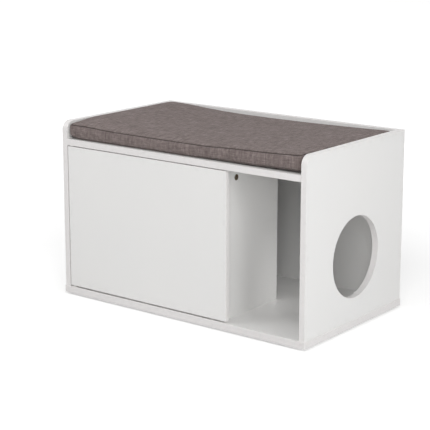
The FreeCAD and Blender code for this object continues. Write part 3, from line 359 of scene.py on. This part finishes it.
def moulded(name, tones, rough, grains, depth):
    """Cloudy finish for a small cast or moulded piece. grains sets how fine its relief is."""
    light, dark = tones
    f = Finish(f"{name}_finish", Roughness=rough, IOR=1.5)
    cloud, grain = f.noise(90, 3.0), f.noise(grains, 3.0)
    scuff = near_edge(f, name, (0, 1, 2), SCUFF_REACH) * f.step(f.noise(300, 4.0), 0.45, 0.7)
    shade = f.mix(cloud, light, dark)
    f.put("Base Color", f.mix(scuff * 0.3, shade, tuple(0.7 * c for c in dark)))
    f.put("Roughness", rough - 0.05 + grain * 0.1 + scuff * 0.2)
    f.bump(grain, depth)
    give(f, name)


moulded("lower_pivot_bush", NYLON, rough=0.45, grains=900, depth=0.00003)
moulded("upper_pivot_bush", NYLON, rough=0.45, grains=900, depth=0.00003)
moulded("floor_glides", GREY_PLASTIC, rough=0.5, grains=700, depth=0.00005)
moulded("catch_housing", WHITE_PLASTIC, rough=0.42, grains=1300, depth=0.00003)
moulded("door_buffers", RUBBER, rough=0.35, grains=500, depth=0.00002)
moulded("catch_magnet", FERRITE, rough=0.6, grains=2400, depth=0.0001)

# %% Finish of the beech dowels
BEECH_LIGHT, BEECH_DARK = (0.70, 0.50, 0.30), (0.55, 0.36, 0.20)
BEECH_PORE, GRAIN_DEPTH = (0.30, 0.17, 0.09), 0.0001
f = Finish("beech_dowels", Roughness=0.6)
grain = f.noise(700, 3.0, stretch=(0.04, 1, 1))
pores = f.step(f.noise(1900, 2.0, stretch=(0.08, 1, 1)), 0.62, 0.72)
wood = f.mix(grain, BEECH_LIGHT, BEECH_DARK)
f.put("Base Color", f.mix(pores * 0.6, wood, BEECH_PORE))
f.put("Roughness", 0.55 + grain * 0.15)
f.bump(grain - pores * 0.5, GRAIN_DEPTH)
give(f, "wooden_dowels")
print("dowels:", f.material.name)

# %% [markdown]
# ## The cushion's form
# The cushion is a foam slab in a sewn cover: a top and a bottom panel and a boxing strip
# round the sides, joined by two plain seams. Sat on for a while, it is lowest in its middle.
# Before its form is made, these lines give the upper seam's height over the seat board, at
# the front and at the rear, from the left end to the right, and how far the top panel swells
# above the seam. Behind the front the left end stands higher. Along the front the underside
# is lifted a little off the board, at the left end and in the right half.

# %% Measurements of the cushion
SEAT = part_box("seat_board")[1].z
SEAM_X = [-0.356, -0.320, -0.290, -0.230, -0.170, 0.0, 0.090, 0.145, 0.200, 0.270, 0.320, 0.356]
SEAM_FRONT = [0.0370, 0.0375, 0.0372, 0.0340, 0.0330, 0.0328, 0.0326, 0.0362, 0.0378, 0.0395,
              0.0428, 0.0440]
SEAM_REAR = [0.0385, 0.0388, 0.0385, 0.0370, 0.0358, 0.0352, 0.0355, 0.0365, 0.0375, 0.0388,
             0.0398, 0.0402]
CROWN_X = [-0.356, -0.300, -0.150, 0.050, 0.200, 0.300, 0.356]
CROWN = [0.0040, 0.0042, 0.0030, 0.0018, 0.0014, 0.0008, 0.0004]
# how far inwards the crown grows, from the long sides and from the ends
CROWN_SIDE, CROWN_END = 0.085, 0.060
# the left end's rise, and the underside's lift at the left, in the right half and at its end
LEFT_RISE, LIFT_LEFT, LIFT_RIGHT, LIFT_END = 0.0062, 0.0042, 0.0024, 0.0020
# how far thread draws the sides and the ends in, and how far left of the middle it lies
PULL_SIDE, PULL_END, TO_LEFT = 0.0016, 0.0010, 0.0014
# half the length, the corners' radius, how far in from a rim its seam lies, the rims' bevel
HALF, CORNER, RIM, RIM_BEVEL = 0.3556, 0.010, 0.0022, 0.0045
UNDER_GAP, SLAB_HEIGHT, CELL = 0.0004, 0.036, 0.006
FRONT_INSET, REAR_INSET = 0.0014, 0.0022
solid_low, solid_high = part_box("seat_cushion")
FRONT_EDGE, REAR_EDGE = solid_low.y + FRONT_INSET, solid_high.y - REAR_INSET
SLAB_LOW, FLAT_TOP = SEAT + UNDER_GAP, SEAT + SLAB_HEIGHT
print("cushion solid:", [round(v, 4) for v in (*solid_low, *solid_high)])

# %% [markdown]
# ## Blocking out the slab
# The slab starts as a box of the cushion's size. Its upright corners are rounded with a
# bevel, then the upper and lower rims get a smaller one where the seams will run. A voxel
# remesh turns it into an even net of small squares, which cloth needs.

# %% Helpers for edit mode
def only(thing):
    """Deselects everything else and makes one object active."""
    bpy.ops.object.select_all(action="DESELECT")
    thing.select_set(True)
    bpy.context.view_layer.objects.active = thing


def pick_edges(thing, wanted):
    """In edit mode, selects the edges for which wanted(edge) holds, and prints how many."""
    net = bmesh.from_edit_mesh(thing.data)
    bpy.ops.mesh.select_all(action="DESELECT")
    bpy.ops.mesh.select_mode(type="EDGE")
    chosen = [edge for edge in net.edges if wanted(edge)]
    for edge in chosen:
        edge.select_set(True)
    bmesh.update_edit_mesh(thing.data)
    print("edges picked:", len(chosen))


def rise(edge):
    """How far an edge runs up."""
    a, b = (vertex.co for vertex in edge.verts)
    return abs(a.z - b.z)


def finish_with(thing, kind, **settings):
    """Adds a modifier and applies it."""
    only(thing)
    modifier = thing.modifiers.new(kind.lower(), kind)
    for name, value in settings.items():
        setattr(modifier, name, value)
    bpy.ops.object.modifier_apply(modifier=modifier.name)


# %% The slab as a rounded box
UPRIGHT, LEVEL = 0.01, 1e-5
bpy.ops.object.select_all(action="DESELECT")
bpy.ops.mesh.primitive_cube_add(
    size=1, location=(0, (FRONT_EDGE + REAR_EDGE) / 2, (SLAB_LOW + FLAT_TOP) / 2),
    scale=(2 * HALF, REAR_EDGE - FRONT_EDGE, FLAT_TOP - SLAB_LOW))
slab = bpy.context.object
slab.name = "slab"
bpy.ops.object.transform_apply(location=True, rotation=False, scale=True)
bpy.ops.object.mode_set(mode="EDIT")
pick_edges(slab, lambda edge: rise(edge) > UPRIGHT)
bpy.ops.mesh.bevel(offset=CORNER, segments=6, affect="EDGES")
pick_edges(slab, lambda edge: rise(edge) < LEVEL)
bpy.ops.mesh.bevel(offset=RIM_BEVEL, segments=3, affect="EDGES")
bpy.ops.object.mode_set(mode="OBJECT")
print("slab faces:", len(slab.data.polygons))

# %% [markdown]
# ## From slab to cushion
# The net is copied into a new object and remeshed at 6 mm. Each point then gets its height
# from the seam lines, the top gets its crown, and the sides and ends are drawn in between
# the corners, as the cover's thread pulls them. Two numbers are kept on every point: how far
# it is from the upper seam and from the lower one, positive towards the panels and negative
# towards the boxing strip.

# %% Remesh the copy
bpy.ops.object.select_all(action="DESELECT")
cushion = bpy.data.objects.new("cushion_cover", slab.data.copy())
bpy.context.scene.collection.objects.link(cushion)
bpy.data.objects.remove(slab)
finish_with(cushion, "REMESH", mode="VOXEL", voxel_size=CELL)
finish_with(cushion, "SMOOTH", factor=0.5, iterations=2)
count = len(cushion.data.vertices)
spots = np.zeros(count * 3)
cushion.data.vertices.foreach_get("co", spots)
spots = spots.reshape(-1, 3)
print("net points:", count)


# %% Shape the net
def ease(values, low, high):
    """A smooth step of numpy values, which may run downwards."""
    share = np.clip((values - low) / (high - low), 0, 1)
    return share * share * (3 - 2 * share)


def dome(inset, reach):
    """0 at a seam, rising steeply first, 1 from reach metres inwards."""
    return 1 - (1 - np.clip(inset / reach, 0, 1)) ** 2.5


x, y, z = spots.T.copy()
share_up = (z - SLAB_LOW) / (FLAT_TOP - SLAB_LOW)
share_back = (y - FRONT_EDGE) / (REAR_EDGE - FRONT_EDGE)
samples = [np.interp(x + shift, SEAM_X, SEAM_FRONT) for shift in (0, -0.02, -0.01, 0.01, 0.02)]
smooth_front = sum(samples) / len(samples)
seam_height = smooth_front * (1 - share_back) + np.interp(x, SEAM_X, SEAM_REAR) * share_back
inset_x = HALF - np.abs(x)
inset_y = np.minimum(y - FRONT_EDGE, REAR_EDGE - y)
inset = np.minimum(inset_x, inset_y)
crown = np.interp(x, CROWN_X, CROWN) * dome(inset_y, CROWN_SIDE) * dome(inset_x, CROWN_END)
behind = ease(share_back, 0, 0.25)
seam_height += RIM + LEFT_RISE * behind * ease(x, -0.20 + 0.14 * share_back, -HALF)
lift_left = LIFT_LEFT * ease(x, -0.322, -0.350)
lift_right = LIFT_RIGHT * ease(x, 0.02, 0.12) + LIFT_END * ease(x, 0.20, 0.33)
lift = (lift_left + lift_right) * ease(y, -0.150, FRONT_EDGE)
spots[:, 2] = SLAB_LOW + lift + share_up * (seam_height - UNDER_GAP - lift) \
    + crown * ease(share_up, 0.8, 1.0)
pull_in = PULL_SIDE * (1 - np.abs(x / HALF) ** 3)
toward_middle = 1 - 2 * share_back
spots[:, 1] = y + pull_in * toward_middle * np.abs(toward_middle)
end_pull = PULL_END * (1 - np.abs(toward_middle) ** 3)
spots[:, 0] = x * (1 - end_pull / HALF) - TO_LEFT
print("crown to", round(float(spots[:, 2].max()), 4))

# %% Distances to the two seams
DIAGONAL = math.sqrt(2)
corner_x, corner_y = CORNER - inset_x, CORNER - inset_y
rounded = np.hypot(np.maximum(corner_x, 0), np.maximum(corner_y, 0)) - CORNER
outward = np.where((corner_x > 0) & (corner_y > 0), rounded, -inset)
from_top = ((z - (FLAT_TOP - RIM)) - (outward + RIM)) / DIAGONAL
from_low = (((SLAB_LOW + RIM) - z) - (outward + RIM)) / DIAGONAL
# a seam's own panel lies in its own half, so in the other half the distance stays negative
from_top = np.where(share_up < 0.5, np.minimum(from_top, (z - FLAT_TOP) / DIAGONAL), from_top)
from_low = np.where(share_up > 0.5, np.minimum(from_low, (SLAB_LOW - z) / DIAGONAL), from_low)
for label, distances in (("top_seam", from_top), ("low_seam", from_low)):
    layer = cushion.data.attributes.new(label, "FLOAT", "POINT")
    layer.data.foreach_set("value", distances.astype(np.float32))
cushion.data.vertices.foreach_set("co", spots.ravel())
cushion.data.update()
print("points within 4 mm of the top seam:", int((np.abs(from_top) < 0.004).sum()))

# %% [markdown]
# ## Filling the cover
# A cover only looks soft if its panels carry the filling's pressure between the seams. The
# seams are held, because doubled and stitched cloth hardly stretches, and so is the middle
# of the underside, which lies on the board. Twenty frames of cloth with a light pressure and
# no gravity round off everything between them, and what moved too far is held back.

# %% Fill with cloth
HOLD_SEAM, HOLD_NONE, HOLD_UNDER = 0.0015, 0.005, (0.006, 0.020)
CAP, FRAMES, TINY = 0.005, 20, 1e-9
CLOTH = {"quality": 5, "mass": 0.3, "tension_stiffness": 20, "compression_stiffness": 20,
         "bending_stiffness": 1.0, "use_pressure": True, "uniform_pressure_force": 4.0,
         "vertex_group_mass": "held"}
held = np.maximum(ease(np.abs(from_top), HOLD_NONE, HOLD_SEAM),
                  ease(np.abs(from_low), HOLD_NONE, HOLD_SEAM))
held = np.maximum(held, ease(from_low, *HOLD_UNDER))
before = spots.copy()
group = cushion.vertex_groups.new(name="held")
for index, weight in enumerate(held):
    group.add([index], float(weight), "REPLACE")
only(cushion)
cloth = cushion.modifiers.new("filling", "CLOTH")
for name, value in CLOTH.items():
    setattr(cloth.settings, name, value)
cloth.settings.effector_weights.gravity = 0.0
for number in range(1, FRAMES + 1):
    bpy.context.scene.frame_set(number)
bpy.ops.object.modifier_apply(modifier=cloth.name)
bpy.context.scene.frame_set(1)
filled = np.zeros(count * 3)
cushion.data.vertices.foreach_get("co", filled)
moved = filled.reshape(-1, 3) - before
length = np.linalg.norm(moved, axis=1)
share = np.where(length > TINY, np.tanh(length / CAP) * CAP / np.maximum(length, TINY), 1)
moved *= share[:, None]
spots = before + moved
kept = np.linalg.norm(moved, axis=1)
print("cloth moved at most", round(float(length.max()), 4), "kept", round(float(kept.max()), 4))

# %% [markdown]
# ## Puckers at the seams
# Thread draws the boxing strip together a little, which leaves small upright puckers below
# the upper seam, none like the next, and broader folds between them. The top panel has
# shallow dents from being sat on. Nothing passes the seat board, the back panel or the side
# panels, which flatten the cloth where it meets them.

# %% Puckers and dents
PUCKER_AT_SEAM, PUCKER_BELOW, PUCKER_FADE = 0.0011, 0.0004, 0.010
FOLD_DEPTH, DENT_DEPTH = 0.0009, 0.0011
WAVE_FADE, WAVE_STEP, WAVE_OCTAVES = 1.0, 2.0, 2


def wavy(a, b, seed):
    """Noise from about -1 to 1 at a place given by two numbers."""
    return noise.fractal(Vector((a, b, seed)), WAVE_FADE, WAVE_STEP, WAVE_OCTAVES)


front_back = inset_y < inset_x
along = np.where(front_back, x, y + np.sign(x) * 0.7)
boxing = (from_top < 0) & (from_low < 0)
below = np.clip(-from_top, 0, 1)
pucker = np.array([wavy(a * 55, b * 9, 3.1) for a, b in zip(along, below)])
fold = np.array([wavy(a * 17, b * 14, 8.4) for a, b in zip(along, below)])
dent = np.array([wavy(a * 6, b * 8, 5.7) for a, b in zip(x, y)])
strength = PUCKER_AT_SEAM * np.exp(-below / PUCKER_FADE) + PUCKER_BELOW
push = np.where(boxing, strength * pucker + FOLD_DEPTH * fold, 0)
spots[:, 1] += np.where(front_back, push * np.where(y < 0, -1, 1), 0)
spots[:, 0] += np.where(front_back, 0, np.minimum(push, 0) * np.sign(x))
panel = ease(from_top, 0.004, 0.03)
spots[:, 2] += panel * DENT_DEPTH * dent
print("puckers on", int(boxing.sum()), "points")

# %% Keep clear of the boards
SIDE_GAP, RIGHT_GAP, FRONT_BULGE, BACK_GAP, SEAT_GAP = 0.0008, 0.0034, 0.0015, 0.0004, 0.0002
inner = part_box("right_side_panel")[0].x - SIDE_GAP
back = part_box("back_panel")[0].y - BACK_GAP
spots[:, 0] = np.clip(spots[:, 0], -inner, inner - RIGHT_GAP)
spots[:, 1] = np.clip(spots[:, 1], solid_low.y - FRONT_BULGE, back)
spots[:, 2] = np.maximum(spots[:, 2], SEAT + SEAT_GAP)
cushion.data.vertices.foreach_set("co", spots.ravel())
cushion.data.update()
finish_with(cushion, "SUBSURF", levels=1, render_levels=1)
print("points after one subdivision:", len(cushion.data.vertices))

# %% Draw the seams in
SEAM_DEPTHS, SEAM_REACH = {"top_seam": 0.0013, "low_seam": 0.0008}, 0.0032
only(cushion)
count = len(cushion.data.vertices)
spots, normals = np.zeros(count * 3), np.zeros(count * 3)
cushion.data.vertices.foreach_get("co", spots)
cushion.data.vertices.foreach_get("normal", normals)
spots, normals = spots.reshape(-1, 3), normals.reshape(-1, 3)
for label, depth in SEAM_DEPTHS.items():
    distances = np.zeros(count, np.float32)
    cushion.data.attributes[label].data.foreach_get("value", distances)
    spots -= normals * (depth * ease(np.abs(distances), SEAM_REACH, 0.0))[:, None]
spots[:, 2] = np.maximum(spots[:, 2], SEAT + SEAT_GAP)
cushion.data.vertices.foreach_set("co", spots.ravel())
cushion.data.update()
bpy.ops.object.shade_smooth()
print("cushion triangles:", 2 * len(cushion.data.polygons))

# %% [markdown]
# ## The cover's cloth
# The cover is a coarse linen-look weave in taupe. Its yarns are spun from lighter and darker
# fibres and vary in thickness, so each yarn shows as a faint streak, one set along the
# cushion and one across. On the panels the yarns follow the length and the depth, and on
# the boxing strip they follow the length and the height, which is why the direction changes
# at the seam. Seen close, each yarn passes over and under the next.

# %% Weave on the cushion
PITCH, SWAY = 0.0011, 0.0006
f = Finish("cushion_cloth_weave", Roughness=0.92, Sheen_Weight=0.08, Sheen_Roughness=0.5,
           Specular_IOR_Level=0.2)
top_seam, low_seam = (f.node("ShaderNodeAttribute", {"attribute_name": label}, {}, out=2)
                      for label in ("top_seam", "low_seam"))
px, py, pz = f.parts(f.place)
nx, ny = (abs(part) for part in f.parts(f.facing)[:2])
on_panel = f.step(f.maths("MAXIMUM", top_seam, low_seam), -0.0001, 0.0001)
on_boxing = 1 - on_panel
on_end = f.step(nx - ny, -0.02, 0.02) * on_boxing
run = px * (1 - on_end) + py * on_end
cross = py * on_panel + pz * on_boxing
sway = f.noise(160, 2.0) * SWAY
warp_wave = f.maths("SINE", (run + sway) / PITCH * math.pi)
weft_wave = f.maths("SINE", (cross + sway) / PITCH * math.pi)
over = f.step(warp_wave * weft_wave, -0.35, 0.35)
under = 1 - over
print("yarn pitch in mm:", PITCH * 1000)

# %% Tone of the yarns
SLUB_LONG, SLUB_QUICK = 0.030, 0.0013
STREAKS = ((0.0026, 0.015), (0.0052, 0.034))


def drift(run_by, cross_by, seed, detail=2.0, rough=0.5):
    """Noise in the cloth's own two directions, with a length in metres for each."""
    where = f.vector(run / run_by, cross / cross_by, seed)
    return f.noise(1.0, detail, where=where, rough=rough)


warp_tone = drift(SLUB_QUICK, SLUB_LONG, 3.0, rough=0.6)
weft_tone = drift(SLUB_LONG, SLUB_QUICK, 9.0, rough=0.6)
fibre = f.noise(2400, 2.0)
cloud = f.noise(28, 4.0)
tone = warp_tone * over + weft_tone * under
tone = tone * 0.5 + (warp_tone + weft_tone) * 0.25
tone = tone * 0.70 + fibre * 0.16 + cloud * 0.14
for quick, long in STREAKS:
    streaks = drift(quick, long, 15.0) + drift(long, quick, 21.0)
    tone = tone + (streaks - 1.0) * (0.22 + on_panel * 0.12)
blotch = drift(0.008, 0.012, 33.0, detail=3.0)
tone = tone + (blotch - 0.5) * on_boxing * 0.36
print("nodes in the cloth:", len(f.tree.nodes))

# %% Colour, relief and painted shade of the yarns
YARN = [(0.30, (0.128, 0.097, 0.092)), (0.46, (0.206, 0.164, 0.156)),
        (0.56, (0.258, 0.210, 0.200)), (0.72, (0.390, 0.332, 0.318))]
# The three dark colours here are painted shade: for the gaps between yarns, the dip beside the
# upper seam and the seams' creases.
YARN_GAP_SHADOW, SEAM_DIP_SHADOW = (0.055, 0.042, 0.039), (0.085, 0.068, 0.063)
SEAM_CREASE_SHADOW = (0.028, 0.021, 0.019)
YARN_DEPTH, TUCK_DEPTH = 0.0004, 0.0016
yarn = f.node("ShaderNodeValToRGB", {"stops": YARN}, {"Fac": tone})
# Painted shade: the gaps between the yarns are darkened in colour, as if shade fell into them.
gap_shadow = f.step(abs(warp_wave) * abs(weft_wave), 0.22, 0.0)
# Painted shade: a thin, nearly black line along both seams, where the cloth folds into the crease;
# the same line also deepens the relief.
seam_line = f.maths("MAXIMUM", f.step(abs(top_seam), 0.0016, 0.0007),
                    f.step(abs(low_seam), 0.0012, 0.0004))
# Painted shade: within 4 mm of the upper seam, where the cloth is drawn in, the colour is darkened
# a little.
seam_dip_shadow = f.step(abs(top_seam), 0.0040, 0.0)
# The next three lines paint shade into the yarn colour: in the yarn gaps, beside the upper seam and
# in both seams' creases.
yarn = f.mix(gap_shadow * 0.30, yarn, YARN_GAP_SHADOW)
yarn = f.mix(seam_dip_shadow * 0.18, yarn, SEAM_DIP_SHADOW)
yarn = f.mix(seam_line * 0.85, yarn, SEAM_CREASE_SHADOW)
f.put("Base Color", yarn)
f.put("Roughness", 0.86 + fibre * 0.12)
relief = abs(warp_wave) * over + abs(weft_wave) * under
f.bump(relief * 0.8 + tone * 0.6 - seam_line, YARN_DEPTH)
tuck = f.noise(1.0, 3.0, where=f.vector(run * 85, cross * 16, 4.0))
f.bump(tuck * on_boxing * f.step(top_seam, -0.020, 0.0), TUCK_DEPTH)
print("cloth finish:", f.material.name)

# %% Put the cushion in place of its solid
cushion.data.materials.clear()
cushion.data.materials.append(f.material)
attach(cushion, "cushion")
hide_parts("seat_cushion")
print("cushion:", [round(v, 4) for v in (*spots.min(0), *spots.max(0))])

# %% [markdown]
# ## Floor and surroundings
# The cabinet was photographed on white. The floor is a broad pale sheet that takes the
# cabinet's soft shadow, and it and the air behind it show as white to the eye and in
# reflections, while they light the cabinet no more than a pale room would. Close to the
# cabinet the sheet shows less of that white, so that the shadow at its foot can be seen.

# %% A pale floor
FLOOR_LIGHT, FLOOR_DARK = (0.88, 0.88, 0.88), (0.86, 0.86, 0.86)
GLOW_NEAR, GLOW_FAR = (0.39, 0.39, 0.39), (0.88, 0.88, 0.88)
NEAR, FAR = 0.4, 2.2
bpy.ops.object.select_all(action="DESELECT")
bpy.ops.mesh.primitive_plane_add(size=16, location=(0, 0, 0))
floor = bpy.context.object
floor.name = "floor"
f = Finish("pale_floor", Roughness=0.9, Specular_IOR_Level=0.0, Emission_Strength=1.0)
f.put("Base Color", f.mix(f.noise(2.0), FLOOR_DARK, FLOOR_LIGHT))
fx, fy = f.parts(f.place)[:2]
away = f.step(f.maths("SQRT", fx * fx + fy * fy), NEAR, FAR)
glow = f.mix(away, GLOW_NEAR, GLOW_FAR)
f.put("Emission Color", f.mix(f.shows(), (0.0, 0.0, 0.0), glow))
floor.data.materials.append(f.material)
print("floor glow:", GLOW_NEAR[0], "to", GLOW_FAR[0])

# %% White air
ROOM_LIGHT, SHOWN_LIGHT = 0.25, 1.0
world = bpy.data.worlds.new("studio_air")
bpy.context.scene.world = world
air = NodeMaker(world, "World Output")
air.tree.nodes.remove(air.tree.nodes["Background"])
room, white = (air.node("ShaderNodeBackground", {}, {"Color": (1.0, 1.0, 1.0, 1),
                                                     "Strength": strength})
               for strength in (ROOM_LIGHT, SHOWN_LIGHT))
air.put("Surface", air.node("ShaderNodeMixShader", {}, {0: air.shows(), 1: room, 2: white}))
print("nodes in the air:", len(air.tree.nodes))

# %% [markdown]
# ## Light
# The room's even light does about a quarter of the work. Five soft lamps do the rest: one
# from beside the camera, which reaches into the open bay, a higher one for the bay's floor,
# one above for the cushion, one on the right for the side with the entrance, and a smaller
# one high on the left, from where the door gets darker to the right.

# %% Lamps
def lamp(name, place, aim, size, watts):
    """A square soft lamp at a place, turned towards a point."""
    light = bpy.data.lights.new(name, "AREA")
    light.shape, light.size, light.energy = "SQUARE", size, watts
    body = bpy.data.objects.new(name, light)
    bpy.context.scene.collection.objects.link(body)
    body.location = place
    body.rotation_euler = (Vector(aim) - Vector(place)).to_track_quat("-Z", "Y").to_euler()


lamp("left_lamp", place=(-1.0, -1.1, 1.5), aim=(-0.2, 0, 0.3), size=0.8, watts=9.5)
lamp("side_lamp", place=(2.6, -0.7, 1.1), aim=(0.3, 0, 0.25), size=1.2, watts=20)
lamp("front_lamp", place=(1.7, -2.2, 1.2), aim=(0.1, 0, 0.2), size=1.0, watts=15)
lamp("high_lamp", place=(1.3, -1.7, 2.2), aim=(0.1, 0, 0.2), size=1.0, watts=11)
lamp("top_lamp", place=(0.1, 0.45, 2.3), aim=(0, 0, 0.3), size=1.2, watts=9)
print("lamps:", len(bpy.data.lights))

# %% [markdown]
# ## Camera
# The camera stands a metre above the floor and more than three metres away, to the right of
# the cabinet's front, so that upright edges stay nearly parallel. Its place, turn and lens
# come from the cabinet's known corners in the photograph.

# %% Camera
PLACE = (2.01278, -2.65787, 1.04201)
AZIMUTH, ELEVATION, ROLL = 0.64711, 0.22501, 0.00297
FOCAL, FRAME, MIDDLE, SENSOR = 1358.76, 430, (231.92, 194.0), 36
forward = Vector((-math.sin(AZIMUTH) * math.cos(ELEVATION),
                  math.cos(AZIMUTH) * math.cos(ELEVATION), -math.sin(ELEVATION)))
right = Vector((math.cos(AZIMUTH), math.sin(AZIMUTH), 0))
up = right.cross(forward)
right, up = (math.cos(ROLL) * right + math.sin(ROLL) * up,
             math.cos(ROLL) * up - math.sin(ROLL) * right)
lens = bpy.data.cameras.new("camera")
lens.sensor_width = SENSOR
lens.lens = FOCAL * SENSOR / FRAME
lens.shift_x = (FRAME / 2 - MIDDLE[0]) / FRAME
lens.shift_y = (MIDDLE[1] - FRAME / 2) / FRAME
camera = bpy.data.objects.new("camera", lens)
bpy.context.scene.collection.objects.link(camera)
turn = Matrix((right, up, -forward)).transposed().to_4x4()
camera.matrix_world = Matrix.Translation(PLACE) @ turn
bpy.context.scene.camera = camera
bpy.context.scene.view_settings.view_transform = "Standard"
print("lens mm:", round(lens.lens, 2), "shift:", round(lens.shift_x, 4), round(lens.shift_y, 4))
